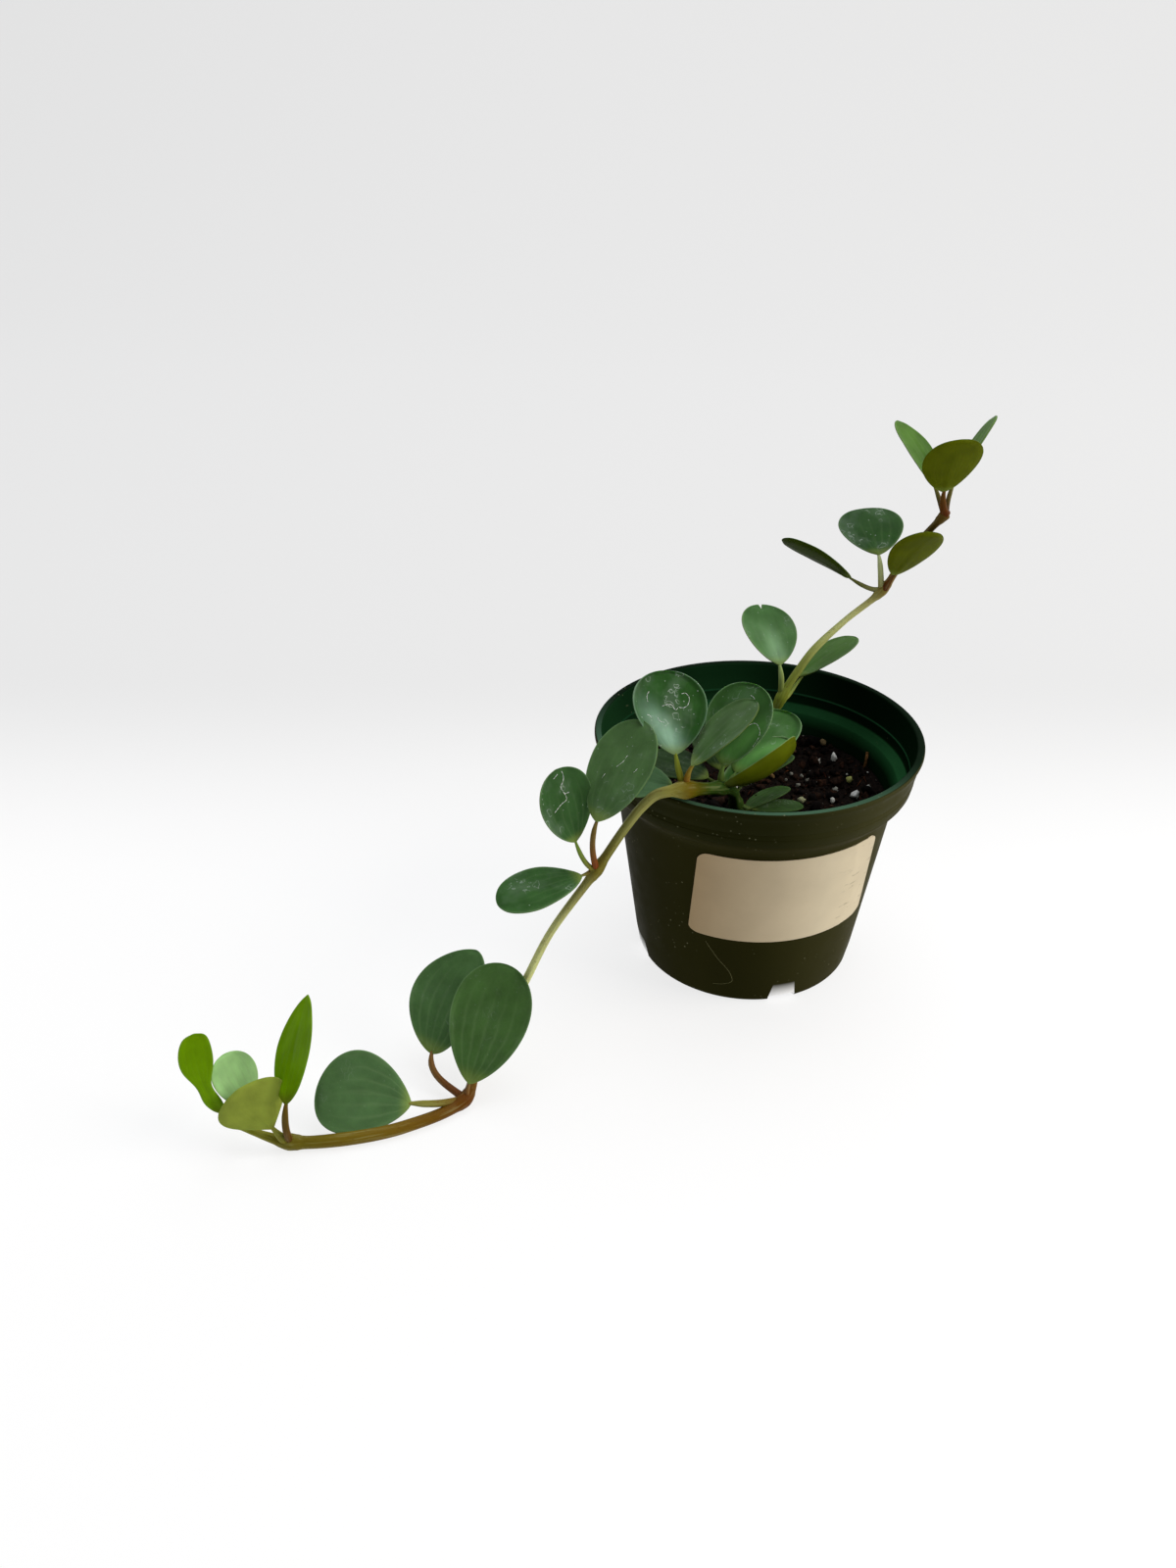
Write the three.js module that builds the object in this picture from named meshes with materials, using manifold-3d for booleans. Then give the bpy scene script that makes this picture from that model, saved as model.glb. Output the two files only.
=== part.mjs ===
// Potted trailing peperomia: a moulded nursery pot filled with potting mix, with a paper label on its
// wall, one long leafy stem that arches over the rim and runs along the ground, and one that climbs to
// the right. Millimetres, +Z up, the pot's axis on Z and its foot on z = 0.
import * as THREE from "three";
import { mergeVertices } from "three/addons/utils/BufferGeometryUtils.js";
import Module from "manifold-3d";

const wasm = await Module();
wasm.setup();

// Nursery pot
const potHeight = 84.3;
const rimRadius = 53.8;
const rimInnerRadius = 51.3;
const lipBevel = 0.7;
const lipHeight = 2.2;
const lipStep = 0.5;
const lipFillet = 1.4;
const collarBottom = 71;
const collarBottomRadius = 51.1;
const collarTopRadius = 52.9;
const shoulderBottom = 64.6;
const shoulderRadius = 46.3;
const footRadius = 37.3;
const footBevel = 2;
const wallThickness = 1.3;
const floorThickness = 1.6;
const floorFillet = 1.5;
const ledgeRise = 1.8;
const potSegments = 48;
const drainSlots = 4;
const drainWidth = 9.5;
const drainHeight = 2.3;
const drainInnerRadius = 30;
const drainOuterRadius = 42;
const drainFirstAngle = -75;

// Shares of the way out and up along the shoulder's curve, from the wall to the collar
const shoulderCurve = [
  [0.12, 0.27],
  [0.46, 0.5],
  [0.81, 0.75],
];

// Paper label
const labelBottom = 28.5;
const labelTop = 63.3;
const labelCentreAngle = -78.8;
const labelSpanAngle = 83.5;
const labelCorner = 3;
const labelThickness = 0.4;
const labelGap = 0.15;
const labelTrim = 1;

// Potting mix
const touchGap = 0.3;
const soilTop = 61;
const soilRings = [38.5, 33, 27.5, 22, 16, 9];
const soilSegments = 48;
const stemHoleGap = 0.7;
const stemHoleRise = 6;
const grainSquash = [1, 0.8, 0.75];
const grainLift = 0.12;

// Waves that make the mix lumpy: height, steepness along X and Y, and phase
const soilLumps = [
  { height: 0.6, along: [0.13, 0.11], phase: 0.6 },
  { height: 0.4, along: [0.37, -0.21], phase: 0 },
  { height: 0.4, along: [0.24, 0.31], phase: 2.7 },
];

// Grains of perlite on the mix: place and size
const grains = [
  { at: [30, 18.5], size: 2.9 },
  { at: [33.4, -5.4], size: 3 },
  { at: [33.6, 6.2], size: 2.9 },
  { at: [24.5, 18.4], size: 1.8 },
  { at: [25.4, -7.4], size: 1.8 },
  { at: [14.5, -10.6], size: 2 },
  { at: [28.1, 1], size: 1.7 },
  { at: [-6.7, -0.5], size: 2.5 },
];

// Leaf blades, stalks and stems
const bladeSides = 10;
const bladeRows = 9;
const bladeMiddle = 1.3;
const bladeEdge = 0.7;
const notchSpread = 3;
const notchDepthPower = 6;
const stalkSides = 5;
const stalkSteps = 5;
const stalkRadius = 0.75;
const stalkFlare = 0.15;
const stalkSunk = 2.6;
const stalkBend = 0.4;
const stalkRise = 0.3;
const waistPlace = 0.38;
const waistReach = 0.2;
const stemSides = 8;
const stemStep = 4;
const nodeSwell = 0.7;
const nodeReach = 2.8;

// A leaf's blade starts at base and runs towards heading (degrees round Z from +X) and lift (degrees
// above level); roll turns its upper face about that axis. Cup raises the margins, arch the middle of
// the midrib, sweep bends the blade in its own plane; widest, taper and waist shape the outline, notch
// dents the tip. Stalk is the stalk's thickness as a share of the usual one, and sag lowers its middle.
const plainLeaf = {
  ...{ roll: 0, cup: 0.06, arch: 0.02, sweep: 0, widest: 0.6, taper: 1.25, waist: 0, notch: 0 },
  ...{ stalk: 1, sag: 0 },
};

// Stem that leaves the pot over its rim and trails along the ground, from the root up
const trailingStem = [
  { at: [-5, -11.5, 49], radius: 1.5 },
  { at: [-6, -14, 62], radius: 1.8 },
  { at: [-8, -18.5, 67], radius: 1.8, node: "soil" },
  { at: [-10.5, -27, 76.5], radius: 1.8 },
  { at: [-15.5, -36, 83.2], radius: 1.8, node: "crown" },
  { at: [-20, -40.5, 85.6], radius: 1.9 },
  { at: [-27, -45, 88], radius: 2.3, node: "rim" },
  { at: [-31.5, -46.5, 88.3], radius: 1.7 },
  { at: [-35.8, -47, 87.2], radius: 1.6 },
  { at: [-40, -48, 83.5], radius: 1.5 },
  { at: [-44.8, -50, 77.5], radius: 1.4 },
  { at: [-53.3, -54.3, 65.3], radius: 1.4, node: "hanging" },
  { at: [-67.2, -60, 46], radius: 1.2 },
  { at: [-75, -64, 30.5], radius: 1.3 },
  { at: [-83.5, -68, 14.5], radius: 1.4 },
  { at: [-90, -74, 5.2], radius: 1.5 },
  { at: [-93, -85.9, 2.7], radius: 1.7, node: "ground" },
  { at: [-110, -96.8, 2.2], radius: 1.9 },
  { at: [-128, -102, 2.3], radius: 2 },
  { at: [-142.6, -103.4, 2.8], radius: 1.8, node: "outer" },
  { at: [-152, -103, 6], radius: 1.1 },
  { at: [-159, -102, 9.5], radius: 0.9, node: "tip" },
];
const trailingLeaves = [
  { node: "soil", base: [-8, -26, 78], heading: 43, lift: 4, roll: -15, length: 24.5, width: 11 },
  { node: "soil", base: [-5.5, -19, 64.6], heading: 40, lift: 2, roll: -15, length: 21, width: 9.5 },
  { node: "soil", base: [-3, -18.5, 64.5], heading: 13, lift: -3, length: 18, width: 8 },
  { node: "crown", base: [-15, -34, 90], heading: 52, lift: 53, roll: -6, length: 26.5, width: 23 },
  { node: "crown", base: [-10.3, -30, 85], heading: 52, lift: 18, roll: -3, length: 30, width: 22 },
  {
    ...{ node: "crown", base: [-15, -37, 85], heading: 29, lift: 15, roll: -28 },
    ...{ length: 27.5, width: 19, cup: 0.75, arch: -0.14 },
  },
  { node: "crown", base: [-19, -33, 85], heading: 150, lift: 3, length: 22, width: 18 },
  { node: "crown", base: [-15, -30, 86], heading: 95, lift: 22, length: 20, width: 16 },
  { node: "rim", base: [-30, -41, 97.5], heading: 102, lift: 47, roll: 10, length: 26, width: 24 },
  { node: "rim", base: [-25.5, -44, 95.5], heading: 25, lift: 38, roll: -16, length: 27, width: 21.5 },
  { node: "rim", base: [-30.5, -43, 87.8], heading: 163, lift: -3, roll: -16, length: 17, width: 14 },
  {
    ...{ node: "hanging", base: [-53.5, -56, 83.5], heading: 54, lift: 45.5, roll: -8 },
    ...{ length: 33, width: 23, sweep: 0.02, widest: 0.57 },
  },
  { node: "hanging", base: [-59.5, -57, 77], heading: 138, lift: 70, length: 23, width: 21 },
  { node: "hanging", base: [-57.5, -56, 64.5], heading: 200, lift: -9, roll: -6, length: 27, width: 18 },
  {
    ...{ node: "ground", base: [-104, -75, 11], heading: 58, lift: 42, roll: 3 },
    ...{ length: 34.5, width: 23, sweep: -0.09, widest: 0.5 },
  },
  {
    ...{ node: "ground", base: [-91.5, -85, 8], heading: 65, lift: 47, roll: 5 },
    ...{ length: 37.5, width: 25.5, sweep: 0.005 },
  },
  {
    ...{ node: "ground", base: [-108, -92.5, 7.4], heading: 182, lift: 6, roll: -50 },
    ...{ length: 28.5, width: 24.5, sweep: 0.09 },
  },
  {
    ...{ node: "outer", base: [-141.5, -105, 19], heading: 79, lift: 42, roll: -38 },
    ...{ length: 31.5, width: 17.5, widest: 0.46, taper: 1.5 },
  },
  {
    ...{ node: "outer", base: [-146, -105, 9.3], heading: 168, lift: 56, roll: 118 },
    ...{ length: 16.5, width: 21.5, widest: 0.64, taper: 1.9 },
  },
  { node: "tip", base: [-154.3, -99, 12.3], heading: 136, lift: 53, roll: 14, length: 17, width: 15.5 },
  {
    ...{ node: "tip", base: [-161.4, -101, 11.6], heading: 180, lift: 83, roll: -75, cup: 0.1 },
    ...{ length: 30.5, width: 9.8, sweep: -0.07, widest: 0.68, taper: 0.85, waist: 0.5 },
  },
];

// Stem that climbs to the right
const climbingStem = [
  { at: [0, 10, 49], radius: 1.4 },
  { at: [2, 12, 61], radius: 1.7 },
  { at: [5, 13, 75], radius: 1.7 },
  { at: [9, 14, 89], radius: 1.7, node: "low" },
  { at: [14.2, 16, 98], radius: 1.5 },
  { at: [19, 17.5, 105], radius: 1.3 },
  { at: [29, 21, 114], radius: 1.05 },
  { at: [40.8, 24, 123.5], radius: 1.1, node: "middle" },
  { at: [45.5, 24.5, 131.8], radius: 1.2 },
  { at: [51, 23, 141.5], radius: 1.1 },
  { at: [56.5, 19.5, 151], radius: 1.1, node: "top" },
];
const climbingLeaves = [
  {
    ...{ node: "low", base: [8, 16, 100], heading: 108, lift: 37, roll: 11 },
    ...{ length: 23.5, width: 21, notch: 0.07 },
  },
  {
    ...{ node: "low", base: [16, 22, 93], heading: 30, lift: 22, roll: -12 },
    ...{ length: 25, width: 15, sag: 3.5 },
  },
  {
    ...{ node: "middle", base: [30.7, 26, 126.9], heading: 165, lift: 24.5, roll: 33 },
    ...{ length: 26.3, width: 17, sag: 0.6 },
  },
  { node: "middle", base: [38.8, 26, 135], heading: 97, lift: 26, roll: -5, length: 21, width: 21.5 },
  {
    ...{ node: "middle", base: [43.3, 22, 129.5], heading: -40, lift: 55, roll: -26 },
    ...{ length: 21, width: 18.5, stalk: 1.4 },
  },
  {
    ...{ node: "top", base: [53, 24, 159], heading: 120, lift: 37, roll: 16 },
    ...{ length: 25.5, width: 15, sweep: 0.06, widest: 0.54, taper: 1.35 },
  },
  {
    ...{ node: "top", base: [54.5, 18, 158.6], heading: -82, lift: 68, roll: 4 },
    ...{ length: 19.7, width: 19.3, stalk: 1.45 },
  },
  { node: "top", base: [59.5, 25.5, 159.5], heading: 40, lift: 45, roll: -40, length: 25, width: 11 },
];

const potPlastic = new THREE.MeshStandardMaterial({ color: 0x23301b, roughness: 0.5, metalness: 0 });
const labelPaper = new THREE.MeshStandardMaterial({ color: 0xdccdb2, roughness: 0.7, metalness: 0 });
const darkMix = new THREE.MeshStandardMaterial({ color: 0x241b16, roughness: 0.95, metalness: 0 });
const foliage = new THREE.MeshStandardMaterial({ color: 0x3f6138, roughness: 0.4, metalness: 0 });

// A closed geometry as a solid for joining and cutting
function solidOf(geometry) {
  const bare = geometry.clone();
  bare.deleteAttribute("normal");
  bare.deleteAttribute("uv");
  const merged = mergeVertices(bare, 1e-4);
  const vertProperties = new Float32Array(merged.attributes.position.array);
  const triVerts = new Uint32Array(merged.index.array);
  return new wasm.Manifold(new wasm.Mesh({ numProp: 3, vertProperties, triVerts }));
}

function geometryOf(solid) {
  const mesh = solid.getMesh();
  const geometry = new THREE.BufferGeometry();
  geometry.setAttribute("position", new THREE.BufferAttribute(mesh.vertProperties, 3));
  geometry.setIndex(new THREE.BufferAttribute(mesh.triVerts, 1));
  geometry.computeVertexNormals();
  return geometry;
}

function joined(solids) {
  return solids.reduce((whole, solid) => whole.add(solid));
}

function namedMesh(name, solid, material) {
  const mesh = new THREE.Mesh(geometryOf(solid), material);
  mesh.name = name;
  return mesh;
}

// A lathed geometry stands on Y; this turns it to stand on Z, with its first seam on -Y.
function lathed(profile, segments) {
  const points = profile.map(([radius, height]) => new THREE.Vector2(radius, height));
  return new THREE.LatheGeometry(points, segments).rotateX(Math.PI / 2);
}

function wallRadius(z) {
  return footRadius + ((shoulderRadius - footRadius) * z) / shoulderBottom;
}

// Flat floor, tapered wall, a shoulder out to the collar, a thick lip, and the same way back inside
function nurseryPot() {
  const shoulderOut = collarBottomRadius - shoulderRadius;
  const shoulderUp = collarBottom - shoulderBottom;
  const shoulder = shoulderCurve.map(([out, up]) => [
    shoulderRadius + out * shoulderOut,
    shoulderBottom + up * shoulderUp,
  ]);
  const lipFoot = potHeight - lipHeight;
  const ledgeTop = collarBottom + ledgeRise / 3;
  const floorEdge = floorThickness + floorFillet;
  const profile = [
    [0, 0],
    [footRadius - footBevel, 0],
    [footRadius - footBevel * 0.3, footBevel * 0.3],
    [wallRadius(footBevel), footBevel],
    [shoulderRadius, shoulderBottom],
    ...shoulder,
    [collarBottomRadius, collarBottom],
    [collarTopRadius, lipFoot - lipFillet],
    [rimRadius - lipStep, lipFoot],
    [rimRadius, potHeight - lipBevel],
    [rimRadius - lipBevel, potHeight],
    [rimInnerRadius + lipBevel, potHeight],
    [rimInnerRadius, potHeight - lipBevel],
    [collarBottomRadius - wallThickness, ledgeTop],
    [shoulder[0][0], ledgeTop - ledgeRise],
    [shoulderRadius - wallThickness, shoulderBottom],
    [wallRadius(floorEdge) - wallThickness, floorEdge],
    [wallRadius(0) - wallThickness - floorFillet, floorThickness],
    [0, floorThickness],
  ];
  let pot = solidOf(lathed(profile, potSegments));
  const slotLength = drainOuterRadius - drainInnerRadius;
  for (let i = 0; i < drainSlots; i += 1) {
    const slot = new THREE.BoxGeometry(slotLength, drainWidth, drainHeight * 2);
    slot.translate(drainInnerRadius + slotLength / 2, 0, 0);
    slot.rotateZ(THREE.MathUtils.degToRad(drainFirstAngle + (i * 360) / drainSlots));
    pot = pot.subtract(solidOf(slot));
  }
  return namedMesh("nursery_pot", pot, potPlastic);
}

// A thin ring that follows the wall's facets, cut to a rectangle with round corners
function paperLabel() {
  const outer = labelGap + labelThickness;
  const low = labelBottom - labelTrim;
  const high = labelTop + labelTrim;
  const profile = [
    [wallRadius(low) + labelGap, low],
    [wallRadius(low) + outer, low],
    [wallRadius(high) + outer, high],
    [wallRadius(high) + labelGap, high],
    [wallRadius(low) + labelGap, low],
  ];
  const ring = solidOf(lathed(profile, potSegments));
  const middle = (labelBottom + labelTop) / 2;
  const right = wallRadius(middle) * Math.sin(THREE.MathUtils.degToRad(labelSpanAngle / 2));
  const top = (labelTop - labelBottom) / 2;
  const across = right - labelCorner;
  const up = top - labelCorner;
  const outline = new THREE.Shape();
  outline.moveTo(-across, -top);
  outline.absarc(across, -up, labelCorner, -Math.PI / 2, 0);
  outline.absarc(across, up, labelCorner, 0, Math.PI / 2);
  outline.absarc(-across, up, labelCorner, Math.PI / 2, Math.PI);
  outline.absarc(-across, -up, labelCorner, Math.PI, Math.PI * 1.5);
  const cutter = new THREE.ExtrudeGeometry(outline, {
    depth: rimRadius,
    bevelEnabled: false,
    curveSegments: 4,
  });
  cutter.rotateX(Math.PI / 2);
  cutter.rotateZ(THREE.MathUtils.degToRad(labelCentreAngle + 90));
  cutter.translate(0, 0, middle);
  return namedMesh("paper_label", ring.intersect(solidOf(cutter)), labelPaper);
}

function soilHeight(x, y) {
  const lump = ({ height, along, phase }) => height * Math.sin(along[0] * x + along[1] * y + phase);
  return soilLumps.reduce((z, wave) => z + lump(wave), soilTop);
}

// Fills the pot to below its shoulder; the top is lumpy and carries grains of perlite, and each stem
// stands in a plain hole.
function pottingMix(stems) {
  const bottom = floorThickness + touchGap;
  const wallGap = wallThickness + touchGap;
  const bottomEdge = bottom + floorFillet;
  const profile = [
    [0, bottom],
    [wallRadius(0) - wallGap - floorFillet, bottom],
    [wallRadius(bottomEdge) - wallGap, bottomEdge],
    [wallRadius(soilTop) - wallGap, soilTop],
    ...soilRings.map((radius) => [radius, soilTop]),
    [0, soilTop],
  ];
  const geometry = lathed(profile, soilSegments);
  const position = geometry.attributes.position;
  for (let i = 0; i < position.count; i += 1) {
    const x = position.getX(i);
    const y = position.getY(i);
    const onTop = position.getZ(i) > bottomEdge + touchGap;
    const offWall = Math.hypot(x, y) < soilRings[0] + touchGap;
    if (onTop && offWall) position.setZ(i, soilHeight(x, y));
  }
  let mix = solidOf(geometry);
  grains.forEach(({ at: [x, y], size }, i) => {
    const grain = new THREE.IcosahedronGeometry(size / 2, 0);
    grain.scale(...grainSquash);
    grain.rotateZ(i);
    grain.translate(x, y, soilHeight(x, y) + size * grainLift);
    mix = mix.add(solidOf(grain));
  });
  stems.forEach((stem) => {
    mix = mix.subtract(stemHole(stem));
  });
  return namedMesh("potting_mix", mix, darkMix);
}

// A straight hole round a stem's buried span, open at the top
function stemHole(stem) {
  const [foot, soil] = stem.slice(0, 2).map(({ at }) => new THREE.Vector3(...at));
  const along = soil.clone().sub(foot).normalize();
  const radius = stem[1].radius + stemHoleGap;
  const start = foot.clone().addScaledVector(along, -stemHoleGap);
  const length = soil.distanceTo(start) + stemHoleRise;
  const hole = new THREE.CylinderGeometry(radius, radius, length, 12);
  const upright = new THREE.Vector3(0, 1, 0);
  hole.applyQuaternion(new THREE.Quaternion().setFromUnitVectors(upright, along));
  const centre = start.addScaledVector(along, length / 2);
  hole.translate(centre.x, centre.y, centre.z);
  return solidOf(hole);
}

// A closed tube along a curve; radiusAt gives its radius at a share of the way along
function tube(curve, radiusAt, sides, steps) {
  const frames = curve.computeFrenetFrames(steps, false);
  const places = Array.from({ length: steps + 1 }, (_, i) => curve.getPointAt(i / steps));
  const geometry = new THREE.CylinderGeometry(1, 1, 1, sides, steps);
  const position = geometry.attributes.position;
  for (let i = 0; i < position.count; i += 1) {
    const step = Math.round((position.getY(i) + 0.5) * steps);
    const radius = radiusAt(step / steps, places[step]);
    const moved = places[step].clone();
    moved.addScaledVector(frames.normals[step], position.getX(i) * radius);
    moved.addScaledVector(frames.binormals[step], -position.getZ(i) * radius);
    position.setXYZ(i, moved.x, moved.y, moved.z);
  }
  return solidOf(geometry);
}

// A stem through its points, a little swollen at each node
function stemTube(stem) {
  const places = stem.map(({ at }) => new THREE.Vector3(...at));
  const curve = new THREE.CatmullRomCurve3(places, false, "centripetal");
  const steps = Math.round(curve.getLength() / stemStep);
  const nodes = stem.filter(({ node }) => node).map(({ at }) => new THREE.Vector3(...at));
  const swell = (place) => (node) => nodeSwell * Math.exp(-((node.distanceTo(place) / nodeReach) ** 2));
  const radiusAt = (share, place) => {
    const along = curve.getUtoTmapping(share) * (stem.length - 1);
    const i = Math.min(Math.floor(along), stem.length - 2);
    const plain = THREE.MathUtils.lerp(stem[i].radius, stem[i + 1].radius, along - i);
    return nodes.map(swell(place)).reduce((sum, more) => sum + more, plain);
  };
  return tube(curve, radiusAt, stemSides, steps);
}

// The blade's own axes: along it, out of its upper face and across it
function bladeAxes({ heading, lift, roll }) {
  const h = THREE.MathUtils.degToRad(heading);
  const l = THREE.MathUtils.degToRad(lift);
  const along = new THREE.Vector3(Math.cos(l) * Math.cos(h), Math.cos(l) * Math.sin(h), Math.sin(l));
  const up = new THREE.Vector3(-Math.sin(l) * Math.cos(h), -Math.sin(l) * Math.sin(h), Math.cos(l));
  const across = along.clone().cross(up);
  const turn = THREE.MathUtils.degToRad(roll);
  const face = up.clone().multiplyScalar(Math.cos(turn)).addScaledVector(across, Math.sin(turn));
  const side = across.clone().multiplyScalar(Math.cos(turn)).addScaledVector(up, -Math.sin(turn));
  return { along, face, side };
}

// Share of the full half width at a share of the way from base to tip
function outline(s, { widest, taper, waist }) {
  const plain = (s / widest) ** (taper * widest) * ((1 - s) / (1 - widest)) ** (taper * (1 - widest));
  return plain * (1 - waist * Math.exp(-(((s - waistPlace) / waistReach) ** 2)));
}

// A sphere pressed into a blade: its poles become the base and the tip
function leafBlade(leaf) {
  const { along, face, side } = bladeAxes(leaf);
  const { length, width, cup, arch, sweep, notch } = leaf;
  const offset = Math.PI / bladeSides;
  const geometry = new THREE.SphereGeometry(1, bladeSides, bladeRows, offset);
  const position = geometry.attributes.position;
  const base = new THREE.Vector3(...leaf.base);
  for (let i = 0; i < position.count; i += 1) {
    const s = (1 - position.getY(i)) / 2;
    const ring = Math.hypot(position.getX(i), position.getZ(i));
    const atPole = ring < 1e-6;
    const u = atPole ? 0 : -position.getX(i) / ring / Math.cos(offset);
    const upper = atPole ? 0 : Math.sign(position.getZ(i));
    const half = atPole ? 0 : (width / 2) * outline(s, leaf);
    const bow = 4 * s * (1 - s);
    const thick = (bladeEdge + (bladeMiddle - bladeEdge) * (1 - u * u)) / 2;
    const dent = notch * length * Math.max(0, 1 - Math.abs(u) * notchSpread) * s ** notchDepthPower;
    const place = base.clone().addScaledVector(along, length * s - dent);
    place.addScaledVector(side, half * u + sweep * length * bow);
    place.addScaledVector(face, arch * length * bow + cup * half * u * u + upper * thick);
    position.setXYZ(i, place.x, place.y, place.z);
  }
  return solidOf(geometry);
}

// The stalk leaves the node nearly level, turns into the blade's own line and ends inside the blade
function leafStalk(leaf, nodePlace) {
  const { along } = bladeAxes(leaf);
  const base = new THREE.Vector3(...leaf.base);
  const reach = base.distanceTo(nodePlace);
  const leave = base.clone().sub(nodePlace);
  leave.z *= stalkRise;
  const nearNode = nodePlace.clone().addScaledVector(leave, stalkBend);
  const nearBlade = base.clone().addScaledVector(along, -stalkBend * reach);
  nearNode.z -= leaf.sag;
  nearBlade.z -= leaf.sag;
  const end = base.clone().addScaledVector(along, stalkSunk);
  const curve = new THREE.CubicBezierCurve3(nodePlace, nearNode, nearBlade, end);
  const radiusAt = (share) => stalkRadius * leaf.stalk * (1 + stalkFlare * (1 - 2 * share));
  return tube(curve, radiusAt, stalkSides, stalkSteps);
}

// One leafy stem as one solid
function leafyStem(name, stem, leaves) {
  const nodes = Object.fromEntries(stem.filter(({ node }) => node).map(({ node, at }) => [node, at]));
  const pieces = [stemTube(stem)];
  leaves.forEach((given) => {
    const leaf = { ...plainLeaf, ...given };
    pieces.push(leafStalk(leaf, new THREE.Vector3(...nodes[leaf.node])));
    pieces.push(leafBlade(leaf));
  });
  return namedMesh(name, joined(pieces), foliage);
}

const plant = new THREE.Group();
plant.add(nurseryPot());
plant.add(paperLabel());
plant.add(pottingMix([trailingStem, climbingStem]));
plant.add(leafyStem("trailing_stem", trailingStem, trailingLeaves));
plant.add(leafyStem("climbing_stem", climbingStem, climbingLeaves));

export default plant;
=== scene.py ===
# A potted hope peperomia: moulded pot, paper label, potting mix and two leafy stems.
import math
import random

import bmesh
import bpy
from mathutils import Matrix, Vector, geometry, noise


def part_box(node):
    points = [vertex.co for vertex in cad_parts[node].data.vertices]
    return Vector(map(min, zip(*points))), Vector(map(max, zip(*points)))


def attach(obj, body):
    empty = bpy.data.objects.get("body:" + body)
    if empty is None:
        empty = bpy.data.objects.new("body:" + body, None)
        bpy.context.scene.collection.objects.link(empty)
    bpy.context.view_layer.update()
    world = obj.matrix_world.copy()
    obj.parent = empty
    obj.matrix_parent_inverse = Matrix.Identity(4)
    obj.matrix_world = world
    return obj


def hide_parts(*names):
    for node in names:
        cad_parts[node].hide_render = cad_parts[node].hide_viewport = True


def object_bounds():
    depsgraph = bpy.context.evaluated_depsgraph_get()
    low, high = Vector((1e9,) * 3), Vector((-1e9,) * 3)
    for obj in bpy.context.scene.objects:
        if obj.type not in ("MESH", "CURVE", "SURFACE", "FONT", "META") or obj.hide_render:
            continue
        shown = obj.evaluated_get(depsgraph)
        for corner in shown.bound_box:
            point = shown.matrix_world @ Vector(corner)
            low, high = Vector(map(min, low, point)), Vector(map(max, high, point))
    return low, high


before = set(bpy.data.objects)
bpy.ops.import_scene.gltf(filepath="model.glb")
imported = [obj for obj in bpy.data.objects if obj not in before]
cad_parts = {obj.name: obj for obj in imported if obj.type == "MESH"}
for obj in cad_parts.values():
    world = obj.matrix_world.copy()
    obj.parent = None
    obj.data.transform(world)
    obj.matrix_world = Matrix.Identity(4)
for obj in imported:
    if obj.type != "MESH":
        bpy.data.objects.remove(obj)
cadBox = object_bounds()
mm = 0.001  # pieces are built in millimetres and scaled to metres when they are finished
colourMix = {"data_type": "RGBA"}


# Small helpers

def toLinear(code):
    # sRGB hex to linear RGBA
    parts = [int(code[i:i + 2], 16) / 255 for i in (1, 3, 5)]
    return [p / 12.92 if p <= 0.04045 else ((p + 0.055) / 1.055) ** 2.4 for p in parts] + [1.0]


def addNode(tree, kind, settings, result=0):
    # settings hold options of the node, values of its sockets and outputs of other nodes to link
    node = tree.nodes.new("ShaderNode" + kind)
    for name, value in settings.items():
        if isinstance(value, bpy.types.NodeSocket):
            tree.links.new(value, node.inputs[name])
        elif isinstance(name, str) and hasattr(node, name):
            setattr(node, name, value)
        else:
            node.inputs[name].default_value = value
    return node.outputs[result]


def newMaterial(name, settings):
    # gives back the material, its node tree and the place on the object
    material = bpy.data.materials.new(name)
    material.use_nodes = True
    tree = material.node_tree
    for socket, value in settings.items():
        tree.nodes["Principled BSDF"].inputs[socket].default_value = value
    return material, tree, addNode(tree, "TexCoord", {}, "Object")


def variedTone(tree, tone, pattern, span, shades):
    # a pattern darkens and lightens a tone
    value = addNode(tree, "MapRange", {1: span[0], 2: span[1], 3: shades[0], 4: shades[1], 0: pattern})
    return addNode(tree, "HueSaturation", {"Value": value, "Color": tone})


def finishMaterial(material, sources, relief=None):
    # links the finished tones to the shader, with a bump for relief that is too fine to model
    tree = material.node_tree
    if relief:
        sources = {**sources, "Normal": addNode(tree, "Bump", relief)}
    for socket, source in sources.items():
        tree.links.new(source, tree.nodes["Principled BSDF"].inputs[socket])
    return material


def smoothStep(value, low, high):
    t = min(1, max(0, (value - low) / (high - low)))
    return t * t * (3 - 2 * t)


def mixedTone(first, second, share):
    return [a + (b - a) * share for a, b in zip(first, second)]


def meshFrom(bm, name):
    mesh = bpy.data.meshes.new(name)
    bm.to_mesh(mesh)
    bm.free()
    return mesh


def addObject(name, data):
    thing = bpy.data.objects.new(name, data)
    bpy.context.scene.collection.objects.link(thing)
    return thing


def joinInto(target, part):
    # moves a small bmesh into a larger one, with its layers
    mesh = meshFrom(part, "part")
    target.from_mesh(mesh)
    bpy.data.meshes.remove(mesh)


def spinOutline(bm, verts, steps):
    # turns a chain of points once about the pot's axis
    edges = [bm.edges.new(pair) for pair in zip(verts, verts[1:])]
    bmesh.ops.spin(
        bm,
        geom=verts + edges,
        cent=(0, 0, 0),
        axis=(0, 0, 1),
        angle=math.tau,
        steps=steps,
        use_merge=True,
    )
    bmesh.ops.remove_doubles(bm, verts=bm.verts, dist=0.001)


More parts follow.
